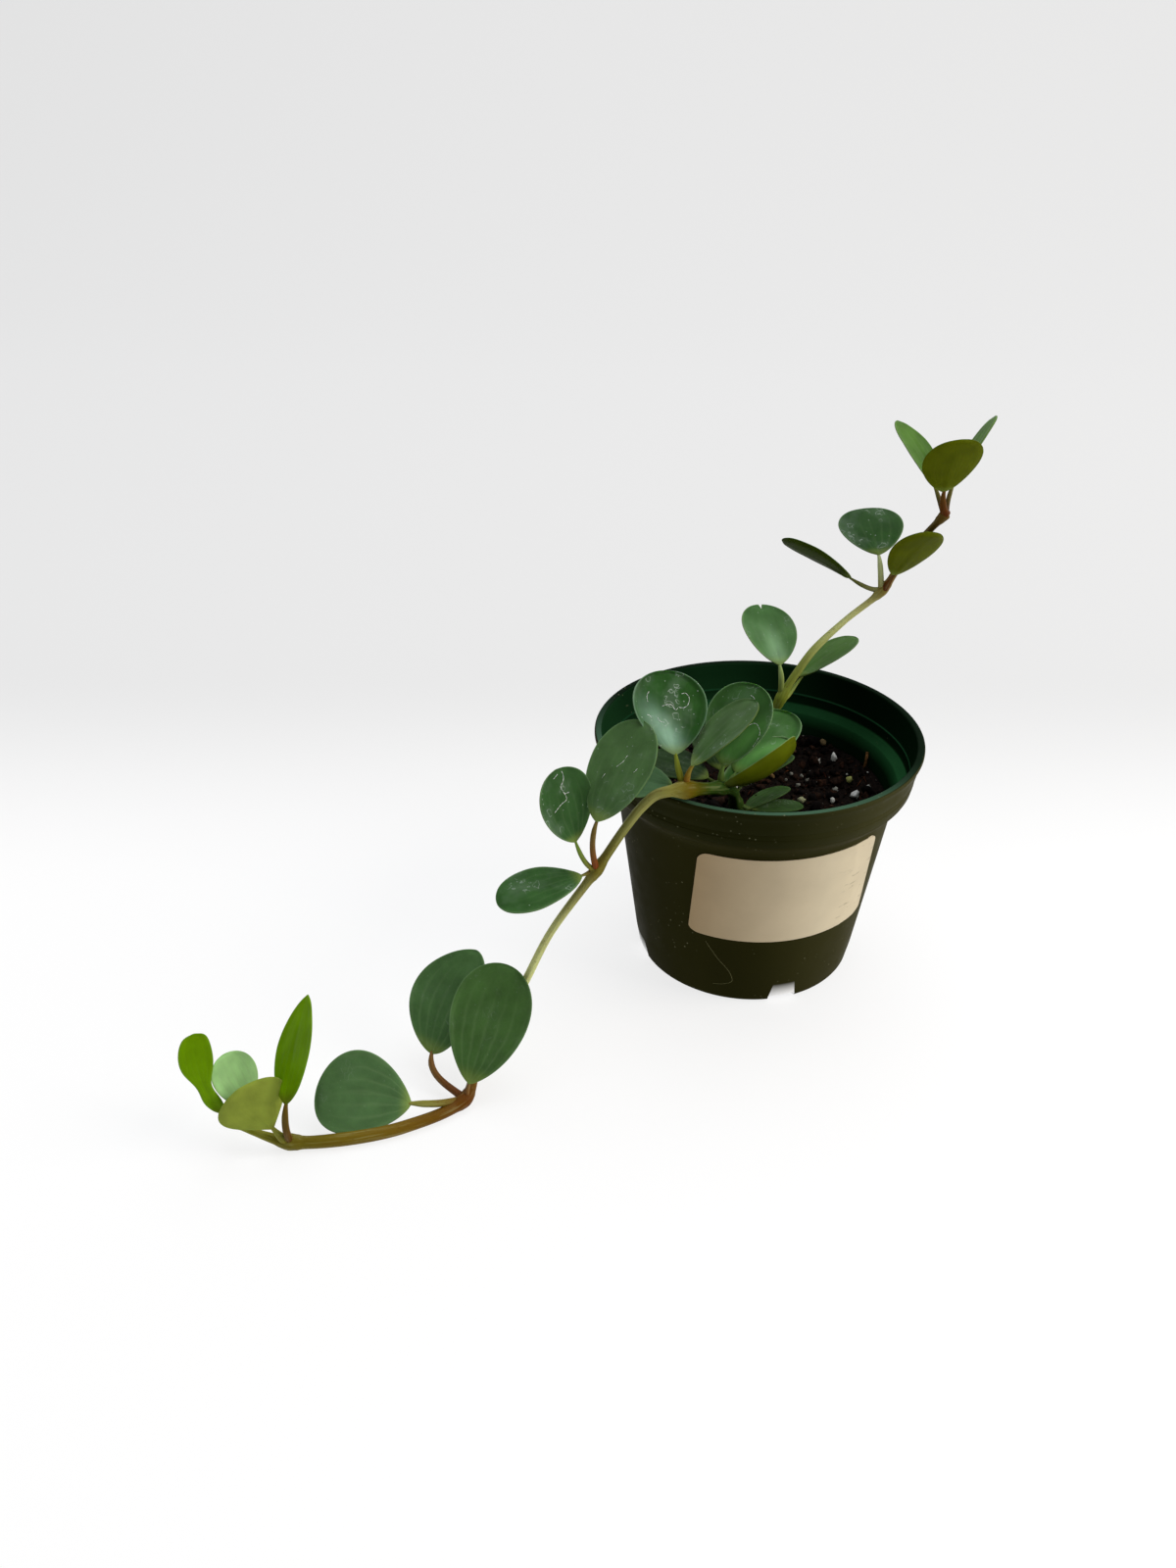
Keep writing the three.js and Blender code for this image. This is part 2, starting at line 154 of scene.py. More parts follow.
def finishPiece(bm, name, material, node, sharpAngle=None):
    bmesh.ops.recalc_face_normals(bm, faces=bm.faces)
    bmesh.ops.scale(bm, vec=(mm, mm, mm), verts=bm.verts)
    for vert in bm.verts:
        # hair-fine relief on the outermost leaves stays inside the CAD box
        vert.co = [min(max(at, low), high) for at, low, high in zip(vert.co, *cadBox)]
    mesh = meshFrom(bm, name)
    mesh.shade_smooth()
    if sharpAngle:
        mesh.set_sharp_from_angle(angle=math.radians(sharpAngle))
    mesh.materials.append(material)
    piece = addObject(name, mesh)
    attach(piece, "root")
    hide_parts(node)


# Camera, light and floor

view = {
    "place": (-55.9, -370, 282),
    "pitchDown": 30.6,
    "roll": 0.2,
    "lens": 29.25,
    "sensor": 36,
    "clip": (0.01, 20),
}


def makeCamera():
    data = bpy.data.cameras.new("view_camera")
    data.lens = view["lens"]
    data.sensor_width = view["sensor"]
    data.clip_start, data.clip_end = view["clip"]
    camera = addObject("view_camera", data)
    turn = Matrix.Rotation(math.radians(90 - view["pitchDown"]), 4, "X")
    roll = Matrix.Rotation(math.radians(view["roll"]), 4, "Z")
    camera.matrix_world = Matrix.Translation(Vector(view["place"]) * mm) @ turn @ roll
    bpy.context.scene.camera = camera


studio = {
    "air": ("#f2f3f2", 0.16),
    "lamps": [
        # name, place in metres, size in metres, watts, colour
        ("right_window", (1.7, -0.35, 1.2), 1.2, 34, "#fff8ee"),
        ("overhead_softbox", (0.15, 0.5, 2.2), 1.8, 32, "#f6f9ff"),
        ("left_fill", (-1.6, -1.3, 1.2), 1.5, 7, "#f3f6ff"),
    ],
    "aim": (-0.02, -0.03, 0.06),
    "floorTone": "#ffffff",
    "wallTone": "#e8e8e8",
    "paperShare": 0.2,
    "glow": 0.78,
    "toneStart": 0.014,
    "toneEnd": 0.22,
    "front": -2.5,
    "back": 1.6,
    "bend": 0.7,
    "bendSteps": 16,
    "wallTop": 2.4,
    "halfWidth": 3.5,
}


def makeStudio():
    scene = bpy.context.scene
    scene.view_settings.view_transform = "Standard"
    world = bpy.data.worlds.new("studio_air")
    world.use_nodes = True
    air = world.node_tree.nodes["Background"]
    air.inputs["Color"].default_value = toLinear(studio["air"][0])
    air.inputs["Strength"].default_value = studio["air"][1]
    scene.world = world
    for name, place, size, watts, colour in studio["lamps"]:
        data = bpy.data.lights.new(name, "AREA")
        data.size = size
        data.energy = watts
        data.color = toLinear(colour)[:3]
        lamp = addObject(name, data)
        lamp.location = place
        aim = Vector(studio["aim"]) - Vector(place)
        lamp.rotation_euler = aim.to_track_quat("-Z", "Y").to_euler()

    # paper sweep: floor, a bend and a wall, pulled out sideways
    bm = bmesh.new()
    corner = [(studio["front"], 0), (studio["back"], 0), (studio["back"], studio["wallTop"])]
    verts = [bm.verts.new((-studio["halfWidth"], y, z)) for y, z in corner]
    for pair in zip(verts, verts[1:]):
        bm.edges.new(pair)
    bmesh.ops.bevel(
        bm,
        geom=[verts[1]],
        offset=studio["bend"],
        affect="VERTICES",
        segments=studio["bendSteps"],
        profile=0.5,
        material=-1,
    )
    pulled = bmesh.ops.extrude_edge_only(bm, edges=bm.edges[:])
    moved = [v for v in pulled["geom"] if isinstance(v, bmesh.types.BMVert)]
    bmesh.ops.translate(bm, vec=(2 * studio["halfWidth"], 0, 0), verts=moved)
    bmesh.ops.recalc_face_normals(bm, faces=bm.faces)
    mesh = meshFrom(bm, "paper_sweep")
    mesh.shade_smooth()
    # the white paper glows with its own light as well as reflecting the lamps, so that shadows on it stay
    # faint
    material, tree, place = newMaterial(
        "studio_paper", {"Roughness": 0.9, "Specular IOR Level": 0.1, "Emission Strength": studio["glow"]}
    )
    depth = addNode(tree, "SeparateXYZ", {0: place}, "Y")
    bounds = {"interpolation_type": "SMOOTHSTEP", 1: studio["toneStart"], 2: studio["toneEnd"]}
    towardsWall = addNode(tree, "MapRange", {**bounds, 0: depth})
    tones = {6: toLinear(studio["floorTone"]), 7: toLinear(studio["wallTone"])}
    tone = addNode(tree, "Mix", {**colourMix, **tones, 0: towardsWall}, 2)
    share = {"blend_type": "MULTIPLY", 0: 1.0, 7: [studio["paperShare"]] * 3 + [1.0]}
    paper = addNode(tree, "Mix", {**colourMix, **share, 6: tone}, 2)
    mesh.materials.append(finishMaterial(material, {"Base Color": paper, "Emission Color": tone}))
    sweep = addObject("paper_sweep", mesh)


# Nursery pot: injection-moulded polypropylene, satin, with dust, fine scuffs and a lint hair

potLow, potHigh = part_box("nursery_pot")
pot = {
    "rim": potHigh.x / mm,
    "height": potHigh.z / mm,
    "rimInner": 51.3,
    "lipHeight": 2.2,
    "lipStep": 0.5,
    "lipRound": 0.7,
    "lipFlare": 1.6,
    "collarTop": 52.9,
    "collarBottom": 71,
    "collarFoot": 51.1,
    "collarTaper": 1.4,
    "shoulderBottom": 64.6,
    "shoulder": 46.3,
    "shoulderSteps": 8,
    "shoulderSwell": 0.65,
    "wallHeights": (8, 24, 44, 58, 62.5),
    "foot": 37.3,
    "footRound": 2,
    "wall": 1.3,
    "floor": 1.6,
    "floorRound": 1.5,
    "ledgeRise": 1.8,
    "ledgeDrop": 1.2,
    "creaseHeight": 74.5,
    "segments": 192,
    "drains": 4,
    "drainWidth": 9.5,
    "drainHeight": 2.3,
    "drainSpan": (30, 42),
    "drainFirst": -75,
    # moulded lines round the collar: height above its foot, and how far they stand out
    "collarLines": [
        (0.15, 0), (0.35, 0.14), (2.9, 0.14), (3.1, 0), (4.9, 0), (5.05, -0.07), (5.2, 0), (8.0, 0),
    ],
    # a lint hair on the wall: angle round the pot and height
    "hair": [(-115, 25.5), (-109, 19), (-103, 13.5), (-101.5, 9.5), (-106, 7.5), (-111, 6.8)],
    "hairThick": 0.07,
    "hairSides": 5,
    "hairTone": "#6f6d4a",
    "dustTone": "#7f7f64",
    # the resin is deep olive on the left; painted light: the outside is lighter and hazed with a painted
    # sheen on the right, where the window's light falls
    "tones": {
        "wall": ("#23220a", "#36341a"),
        "collar": ("#1f200a", "#38371e"),
        # crest: a pale painted highlight along the top of the rim
        "crest": ("#3f5c48", "#3f5c48"),
        # inside: painted light on the far wall at the left and painted shade on the right; the ledge and the
        # crease are lighter bands, painted highlights, brighter on the right
        "inside": ("#14321a", "#071a0a"),
        "ledge": ("#143a1e", "#1f4e2a"),
        "crease": ("#1f4a2e", "#2a5c3a"),
    },
    # painted light: where each left tone turns into its window-side tone, in millimetres along X
    "fade": (-5, 40),
    "crestShaded": "#0c1a0e",
    "crestShare": 0.35,
    "crestLightFrom": -0.1,
    "sharpAngle": 32,
}


def wallRadius(z):
    return pot["foot"] + (pot["shoulder"] - pot["foot"]) * z / pot["shoulderBottom"]


def quarter(centre, radius, start, end, steps=5):
    # points of a round corner, from one direction to another in degrees
    turns = [math.radians(start + (end - start) * i / steps) for i in range(steps + 1)]
    return [(centre[0] + radius * math.cos(t), centre[1] + radius * math.sin(t)) for t in turns]


def potProfile():
    # rows of (radius, height, tone) from the middle of the foot, up the outside and down the inside
    rim, top, lipRound = pot["rim"], pot["height"], pot["lipRound"]
    lipFoot, collarBottom = top - pot["lipHeight"], pot["collarBottom"]
    collarSlope = (pot["collarTop"] - pot["collarFoot"]) / (lipFoot - pot["collarTaper"] - collarBottom)

    def collar(z):
        return pot["collarFoot"] + collarSlope * (z - collarBottom)

    under, floorTop, soft = pot["footRound"], pot["floor"], pot["floorRound"]
    outside = [(0, 0), (pot["foot"] - under, 0)]
    outside += quarter((pot["foot"] - under, under), under, -75, 0, 4)
    outside += [(wallRadius(z), z) for z in pot["wallHeights"]]
    # the shoulder swells out in an S
    for i in range(pot["shoulderSteps"] + 1):
        t = i / pot["shoulderSteps"]
        out = (1 - pot["shoulderSwell"]) * t + pot["shoulderSwell"] * smoothStep(t, 0, 1)
        x = pot["shoulder"] + (pot["collarFoot"] - pot["shoulder"]) * out
        outside.append((x, pot["shoulderBottom"] + (collarBottom - pot["shoulderBottom"]) * t))
    band = [(collar(collarBottom + up) + out, collarBottom + up) for up, out in pot["collarLines"]]
    flare = lipFoot - pot["lipFlare"]
    lipOutside = [(collar(flare), flare), (rim - pot["lipStep"], lipFoot - 0.1)]
    lipOutside += [(rim - 0.1, lipFoot + 0.5), (rim, lipFoot + 0.9)]
    outerCorner, innerCorner = (rim - lipRound, top - lipRound), (pot["rimInner"] + lipRound, top - lipRound)
    lipOutside += quarter(outerCorner, lipRound, 0, 60)
    crest = quarter(outerCorner, lipRound, 72, 90, 2) + quarter(innerCorner, lipRound, 90, 115, 2)
    lipInside = quarter(innerCorner, lipRound, 125, 180, 4)

    ledgeTop = collarBottom + pot["ledgeRise"] / 3 - pot["ledgeDrop"]
    ledgeOut = pot["collarFoot"] - pot["wall"]
    ledgeIn = pot["shoulder"] + 0.12 * (pot["collarFoot"] - pot["shoulder"])
    slope = (pot["rimInner"] - ledgeOut) / (top - lipRound - ledgeTop)

    def innerCollar(z):
        return ledgeOut + slope * (z - ledgeTop)

    creaseTop = pot["creaseHeight"]
    inner = lipInside + [(innerCollar(z), z) for z in (80, creaseTop + 0.3)]
    crease = [(innerCollar(z) - 0.1, z) for z in (creaseTop, creaseTop - 0.3)]
    lower = [(innerCollar(z), z) for z in (creaseTop - 0.6, 73, ledgeTop + 0.7)]
    ledge = [(ledgeOut - 0.15, ledgeTop + 0.15), (ledgeOut - 0.5, ledgeTop)]
    ledge += [(ledgeIn + 0.4, ledgeTop - pot["ledgeRise"] + 0.25), (ledgeIn, ledgeTop - pot["ledgeRise"])]
    down = [(pot["shoulder"] - pot["wall"], pot["shoulderBottom"])]
    down += [(wallRadius(z) - pot["wall"], z) for z in (40, 20, floorTop + soft)]
    down += [(wallRadius(0) - pot["wall"] - soft, floorTop), (0, floorTop)]
    rows = [(outside, "wall"), (band, "collar"), (lipOutside, "collar"), (crest, "crest")]
    rows += [(inner, "inside"), (crease, "crease"), (lower, "inside"), (ledge, "ledge"), (down, "inside")]
    return [(x, z, tone) for points, tone in rows for x, z in points]


def mouldedPlastic():
    # injection-moulded polypropylene: the low satin sheen of a worn nursery pot, a tone that shifts
    # where the resin flowed, specks of dust, and scuffs that catch the light
    material, tree, place = newMaterial(
        "polypropylene_moulded", {"IOR": 1.49, "Specular IOR Level": 0.006}
    )
    # the wall tone carries the painted light, shade and highlights set in makePot
    tone = addNode(tree, "Attribute", {"attribute_name": "wallTone"}, "Color")
    # flow marks 30 mm wide, pulled along the wall's height
    pulled = addNode(tree, "Mapping", {"Scale": (33, 33, 9), "Vector": place})
    flow = addNode(tree, "TexNoise", {"Scale": 1, "Detail": 3, "Vector": pulled})
    flowed = variedTone(tree, tone, flow, (0.3, 0.7), (0.85, 1.15))
    # specks of dust 0.5 mm across and 2 mm apart, gathered in drifts 20 mm wide
    dots = addNode(tree, "TexVoronoi", {"Scale": 450, "Vector": place})
    speck = addNode(tree, "MapRange", {1: 0.07, 2: 0.15, 3: 1, 4: 0, 0: dots})
    drift = addNode(tree, "TexNoise", {"Scale": 50, "Detail": 3, "Vector": place})
    gathered = addNode(tree, "MapRange", {1: 0.54, 2: 0.7, 4: 0.6, 0: drift})
    dust = addNode(tree, "Math", {"operation": "MULTIPLY", 0: speck, 1: gathered})
    dusty = addNode(tree, "Mix", {**colourMix, 7: toLinear(pot["dustTone"]), 0: dust, 6: flowed}, 2)
    scuff = addNode(tree, "TexNoise", {"Scale": 150, "Detail": 5, "Vector": place})
    rough = addNode(tree, "MapRange", {1: 0.3, 2: 0.7, 3: 0.38, 4: 0.55, 0: scuff})
    grain = addNode(tree, "TexNoise", {"Scale": 1400, "Detail": 2, "Vector": place})
    relief = {"Strength": 0.12, "Distance": 0.0002, "Height": grain}
    return finishMaterial(material, {"Base Color": dusty, "Roughness": rough}, relief)


def makePot():
    bm = bmesh.new()
    toneLayer = bm.verts.layers.float_color.new("wallTone")
    windowSideLayer = bm.verts.layers.float_color.new("windowSideTone")
    verts = []
    for x, z, tone in potProfile():
        vert = bm.verts.new((x, 0, z))
        vert[toneLayer], vert[windowSideLayer] = (toLinear(code) for code in pot["tones"][tone])
        verts.append(vert)
    spinOutline(bm, verts, pot["segments"])
    bmesh.ops.recalc_face_normals(bm, faces=bm.faces)
    # painted light and shade: the crest of the rim keeps its pale painted highlight at the front left, and
    # is painted dark behind
    shaded = toLinear(pot["crestShaded"])
    crestFoot = pot["height"] - pot["crestShare"] * pot["lipRound"]
    for vert in bm.verts:
        # painted light and shade: each part turns to its window-side tone towards the right
        windowShare = smoothStep(vert.co.x, *pot["fade"])
        vert[toneLayer] = mixedTone(vert[toneLayer], vert[windowSideLayer], windowShare)
        if vert.co.z > crestFoot:
            towardsFront = -vert.co.y - 0.5 * vert.co.x
            rubsAndCrestLight = smoothStep(towardsFront, pot["crestLightFrom"] * pot["rim"], pot["rim"])
            vert[toneLayer] = mixedTone(shaded, vert[toneLayer], rubsAndCrestLight)
    blank = addObject("pot_blank", meshFrom(bm, "pot_blank"))

    # four drain notches through the foot, with eased edges
    cutter = bmesh.new()
    near, far = pot["drainSpan"]
    for i in range(pot["drains"]):
        turn = Matrix.Rotation(math.radians(pot["drainFirst"] + i * 360 / pot["drains"]), 4, "Z")
        size = Matrix.Diagonal((far - near, pot["drainWidth"], pot["drainHeight"] * 2, 1))
        place = turn @ Matrix.Translation(((near + far) / 2, 0, 0)) @ size
        bmesh.ops.create_cube(cutter, size=1, matrix=place)
    upright = [e for e in cutter.edges if e.verts[0].co.z > 0 and e.verts[1].co.z > 0]
    bmesh.ops.bevel(
        cutter, geom=upright, offset=0.4, affect="EDGES", segments=3, profile=0.5, material=-1
    )
    drains = addObject("drain_cutter", meshFrom(cutter, "drain_cutter"))
    cut = blank.modifiers.new("drains", "BOOLEAN")
    cut.operation = "DIFFERENCE"
    cut.solver = "EXACT"
    cut.object = drains
    shaped = bmesh.new()
    shaped.from_object(blank, bpy.context.evaluated_depsgraph_get())
    for spent in (blank, drains):
        bpy.data.objects.remove(spent)
    hair = []
    for angle, z in smoothed(pot["hair"], 1):
        out = wallRadius(z) + pot["hairThick"] / 2
        hair.append(Vector((out * math.cos(math.radians(angle)), out * math.sin(math.radians(angle)), z)))
    radii, tones = [pot["hairThick"]] * len(hair), [toLinear(pot["hairTone"])] * len(hair)
    joinInto(shaped, sweptTube(hair, radii, tones, pot["hairSides"], "wallTone"))
    plastic = mouldedPlastic()
    finishPiece(shaped, "nursery_pot_moulded", plastic, "nursery_pot", pot["sharpAngle"])
    print("pot made")


# Paper label: a bare cream sticker with round corners, slightly creased at its right end

label = {
    "bottom": 28.5,
    "top": 63.3,
    "centreAngle": -78.8,
    "span": 83.5,
    "corner": 3,
    "thick": 0.22,
    "gap": 0.02,
    "columns": 72,
    "rows": 16,
    "lift": 0.16,
    "liftStart": 0.94,
    # creases near the right end: share of the width, slant, reach, height, and where each fades in
    "creases": [(0.4, -0.2, 0.9, 0.14, 1, 2, 10), (0.43, 0.3, 0.7, 0.12, -1, -4, 6)],
    "sharpAngle": 50,
    "cream": "#cfc2a6",
    "leftShadeTone": "#a08a69",
    "rub": "#5d503c",
}


def labelPaper():
    # coated label paper: cream, matt, with a faint tooth, rubbed at its right; painted shade darkens it to
    # tan towards the left, away from the window's light
    material, tree, place = newMaterial(
        "label_paper_coated", {"IOR": 1.5, "Specular IOR Level": 0.05, "Roughness": 0.55}
    )
    sheet = addNode(tree, "UVMap", {"uv_map": "sheetMap"})
    along = addNode(tree, "SeparateXYZ", {0: sheet}, "X")
    # painted shade: darker towards the left end
    leftShade = addNode(tree, "MapRange", {1: 0.0, 2: 0.7, 3: 1, 4: 0, 0: along})
    tones = {6: toLinear(label["cream"]), 7: toLinear(label["leftShadeTone"])}
    paper = addNode(tree, "Mix", {**colourMix, **tones, 0: leftShade}, 2)
    # clouds of handling 12 mm across
    cloud = addNode(tree, "TexNoise", {"Scale": 80, "Detail": 4, "Vector": place})
    clouded = variedTone(tree, paper, cloud, (0.25, 0.75), (0.93, 1.05))
    # short rubbed strokes, 5 mm long and 1 mm high, only near the right end
    drawn = addNode(tree, "Mapping", {"Scale": (200, 200, 900), "Vector": place})
    rub = addNode(tree, "TexNoise", {"Scale": 1, "Detail": 4, "Vector": drawn})
    stroke = addNode(tree, "MapRange", {1: 0.63, 2: 0.7, 4: 0.6, 0: rub})
    rightEnd = addNode(tree, "MapRange", {1: 0.74, 2: 0.95, 0: along})
    rubs = addNode(tree, "Math", {"operation": "MULTIPLY", 0: stroke, 1: rightEnd})
    rubsAndCrestLight = addNode(tree, "Mix", {**colourMix, 7: toLinear(label["rub"]), 0: rubs, 6: clouded}, 2)
    tooth = addNode(tree, "TexNoise", {"Scale": 2500, "Detail": 2, "Vector": place})
    relief = {"Strength": 0.1, "Distance": 0.0001, "Height": tooth}
    return finishMaterial(material, {"Base Color": rubsAndCrestLight}, relief)


def makeLabel():
    middle = (label["bottom"] + label["top"]) / 2
    tall = label["top"] - label["bottom"]
    radius = wallRadius(middle) + label["gap"]
    wide = 2 * radius * math.sin(math.radians(label["span"] / 2))
    bm = bmesh.new()
    bmesh.ops.create_grid(bm, x_segments=1, y_segments=1, size=0.5)
    bmesh.ops.scale(bm, vec=(wide, tall, 1), verts=bm.verts)
    bmesh.ops.bevel(
        bm,
        geom=bm.verts[:],
        offset=label["corner"],
        offset_type="OFFSET",
        affect="VERTICES",
        segments=8,
        profile=0.5,
        material=-1,
    )
    cuts = [(i / label["columns"] - 0.5) * wide for i in range(1, label["columns"])]
    levels = [(i / label["rows"] - 0.5) * tall for i in range(1, label["rows"])]
    for axis, places in (((1, 0, 0), cuts), ((0, 1, 0), levels)):
        for at in places:
            bmesh.ops.bisect_plane(
                bm, geom=bm.verts[:] + bm.edges[:] + bm.faces[:], plane_co=Vector(axis) * at, plane_no=axis
            )
    sheetMap = bm.loops.layers.uv.new("sheetMap")
    for face in bm.faces:
        for loop in face.loops:
            loop[sheetMap].uv = (loop.vert.co.x / wide + 0.5, loop.vert.co.y / tall + 0.5)
    raised = bmesh.ops.extrude_face_region(bm, geom=bm.faces[:], use_keep_orig=True)
    topVerts = [v for v in raised["geom"] if isinstance(v, bmesh.types.BMVert)]
    bmesh.ops.translate(bm, vec=(0, 0, label["thick"]), verts=topVerts)
    centre = math.radians(label["centreAngle"])
    for vert in bm.verts:
        x, y, out = vert.co
        z = middle + y
        # the sheet was cut flat, so its ends stand as straight lines seen from the front
        turn = math.asin(max(-1, min(1, x / wallRadius(z))))
        end = smoothStep(abs(x) / wide * 2, label["liftStart"], 1)
        away = wallRadius(z) + label["gap"] + out + label["lift"] * end
        for at, slant, reach, height, up, low, high in label["creases"]:
            fold = math.exp(-(((x - at * wide - slant * y) / reach) ** 2))
            away += height * fold * smoothStep(up * y, low, high)
        vert.co = (away * math.cos(centre + turn), away * math.sin(centre + turn), z)
    finishPiece(bm, "paper_label_bare", labelPaper(), "paper_label", label["sharpAngle"])
    print("label made")


# Potting mix: a bed of peat with clods, crumbs, bark fibres, a dry stick and grains of perlite on it

mix = {
    "top": 61,
    "edge": 44.44,
    "bottom": 1.65,
    "segments": 180,
    "ringStep": 0.75,
    "roughness": 1.0,
    "wallRoughness": 0.35,
    # how closely the lumps and crumbs of the bed follow each other, to a millimetre
    "lumps": 0.28,
    "crumbs": 0.9,
    "wallFade": 5,
    # strewn lumps: kind, how many, smallest and largest size, lift as a share of size, inset
    "strewn": [
        ("coarse", 170, (2.2, 5.2), 0.1, 1.5),
        ("coarse", 440, (1.0, 3.2), 0.15, 0),
        ("fine", 1760, (0.4, 1.3), 0.4, 0),
    ],
    # kinds of lump: how many, how finely divided and how rough
    "kinds": {"coarse": (6, 2, 0.8), "fine": (4, 1, 0.5)},
    "dust": (100, (0.25, 0.8), 0.9),
    "fibres": 190,
    "fibreLength": (1.5, 5),
    "fibreBend": 0.35,
    "fibreThick": (0.08, 0.2),
    "fibreShape": (0.5, 1, 1, 0.8, 0.3),
    "fibreSides": 4,
    "seed": 11,
    # height, steepness along X and Y, phase
    "waves": [(0.6, 0.13, 0.11, 0.6), (0.4, 0.37, -0.21, 0), (0.4, 0.24, 0.31, 2.7)],
    "peatTones": ["#120c09", "#0c0807", "#190f0b", "#20140e", "#070504", "#2a1a12"],
    "fibreTones": ["#35190e", "#281309", "#452412", "#1c0f09"],
    "dustTones": ["#b4b4ac", "#8e8e84", "#6f6f64"],
    "stick": [(41.3, 17.5, 66.2), (41, 16.3, 64), (40.4, 15, 61.2)],
    "stickRadii": (0.45, 0.55, 0.5),
    "stickSides": 7,
    "stickTone": "#6a4a2a",
}
looseGrains = [
    # place on the mix, size, tone
    ((30, 18.5), 2.9, "#dcdcd6"),
    ((33.4, -5.4), 3, "#dededa"),
    ((33.6, 6.2), 2.9, "#a9ac62"),
    ((24.5, 18.4), 1.8, "#bcbcb4"),
    ((22.6, 18.6), 1.2, "#a6a69c"),
    ((25.4, -7.4), 1.8, "#c9c9c0"),
    ((14.5, -10.6), 2, "#9fa27c"),
    ((10.7, -14.9), 1.3, "#8f9274"),
    ((28.1, 1), 1.7, "#8c8c82"),
    ((18.8, 5.5), 1.4, "#7f7f76"),
    ((15.1, 0.9), 1.6, "#77776d"),
    ((13.9, 8.8), 1.2, "#85857b"),
    ((11.6, 4.8), 1.2, "#85857b"),
    ((17.8, 10.1), 1.2, "#94948a"),
    ((39, 1), 1.1, "#b0b0a6"),
    ((28.2, 31.3), 2.2, "#7d6a48"),
    ((6.8, 6.1), 1.9, "#6b5230"),
    ((16.2, 23.3), 2.6, "#4a3520"),
    ((-6.7, -0.5), 2.5, "#c9c9c2"),
]


def mixHeight(x, y):
    # the lumps of the bed, with finer crumbling that fades at the wall
    z = mix["top"]
    away = math.hypot(x, y)
    fade = smoothStep(mix["edge"] - away, 0, mix["wallFade"])
    for height, alongX, alongY, phase in mix["waves"]:
        z += height * fade * math.sin(alongX * x + alongY * y + phase)
    lumps, crumbs, atWall = mix["lumps"], mix["crumbs"], mix["wallRoughness"]
    rough = noise.fractal(Vector((x * lumps, y * lumps, 4)), 0.8, 2.1, 4)
    rough += 0.5 * abs(noise.noise(Vector((x * crumbs, y * crumbs, 9))))
    return z + mix["roughness"] * rough * (atWall + (1 - atWall) * fade)


def peat():
    # peat and fine bark: nearly black when moist, dull, with a few dry brown crumbs
    material, tree, place = newMaterial("peat_moist", {"Roughness": 0.92, "Specular IOR Level": 0.05})
    tone = addNode(tree, "Attribute", {"attribute_name": "grainTone"}, "Color")
    # flecks about 1 mm across
    fleck = addNode(tree, "TexNoise", {"Scale": 900, "Detail": 4, "Vector": place})
    flecked = variedTone(tree, tone, fleck, (0.35, 0.7), (0.4, 1.9))
    relief = {"Strength": 0.7, "Distance": 0.0004, "Height": fleck}
    return finishMaterial(material, {"Base Color": flecked}, relief)


def perlite():
    # expanded volcanic glass: chalky white foam with open pits 0.4 mm across
    material, tree, place = newMaterial("perlite_expanded", {"Roughness": 0.85, "Specular IOR Level": 0.2})
    tone = addNode(tree, "Attribute", {"attribute_name": "grainTone"}, "Color")
    pits = addNode(tree, "TexVoronoi", {"Scale": 2600, "Vector": place})
    pitted = variedTone(tree, tone, pits, (0.05, 0.6), (1.05, 0.8))
    relief = {"Strength": 0.5, "Distance": 0.0002, "invert": True, "Height": pits}
    return finishMaterial(material, {"Base Color": pitted}, relief)


def lumpMesh(detail, roughness, seed):
    # one crumb of unit size; a few kinds are made and used over and over
    bm = bmesh.new()
    bm.verts.layers.float_color.new("grainTone")
    bmesh.ops.create_icosphere(bm, subdivisions=detail, radius=0.5)
    for vert in bm.verts:
        vert.co *= 1 + roughness * noise.noise(vert.co * 3 + Vector((seed * 7.3, 0, 0)))
    return meshFrom(bm, "lump")


def placeLump(bm, kind, place, size, tone, chooser):
    mesh = kind.copy()
    stretch = [size * chooser.uniform(0.7, 1.25) for _ in range(3)]
    turn = Matrix.Rotation(chooser.uniform(0, math.tau), 4, "Z")
    tip = Matrix.Rotation(chooser.uniform(0, math.tau), 4, "X")
    mesh.transform(Matrix.Translation(place) @ turn @ tip @ Matrix.Diagonal((*stretch, 1)))
    mesh.attributes["grainTone"].data.foreach_set("color", toLinear(tone) * len(mesh.vertices))
    bm.from_mesh(mesh)
    bpy.data.meshes.remove(mesh)


def newGrains():
    bm = bmesh.new()
    bm.verts.layers.float_color.new("grainTone")
    return bm


def randomSpot(chooser, reach):
    # evenly spread over the round bed
    away = reach * math.sqrt(chooser.random())
    turn = chooser.uniform(0, math.tau)
    return away * math.cos(turn), away * math.sin(turn)


def strew(bm, kinds, count, sizes, sink, tones, chooser, reach):
    # lumps lie half sunk in the bed, each turned its own way
    for _ in range(count):
        x, y = randomSpot(chooser, reach)
        size = sizes[0] + (sizes[1] - sizes[0]) * chooser.random() ** 3
        place = Vector((x, y, mixHeight(x, y) + size * sink))
        placeLump(bm, chooser.choice(kinds), place, size, chooser.choice(tones), chooser)


def bedOfPeat():
    bm = bmesh.new()
    tones = bm.verts.layers.float_color.new("grainTone")
    rings = int(mix["edge"] / mix["ringStep"])
    profile = [(mix["edge"] * i / rings, mix["top"]) for i in range(rings + 1)]
    profile += [(wallRadius(z) - pot["wall"] - 0.06, z) for z in (55, 30, 4)]
    profile += [(wallRadius(0) - pot["wall"] - pot["floorRound"] - 0.1, mix["bottom"]), (0, mix["bottom"])]
    spinOutline(bm, [bm.verts.new((x, 0, z)) for x, z in profile], mix["segments"])
    for vert in bm.verts:
        vert[tones] = toLinear(mix["peatTones"][0])
        if vert.co.z > mix["top"] - 0.1:
            vert.co.z = mixHeight(vert.co.x, vert.co.y)
    return bm


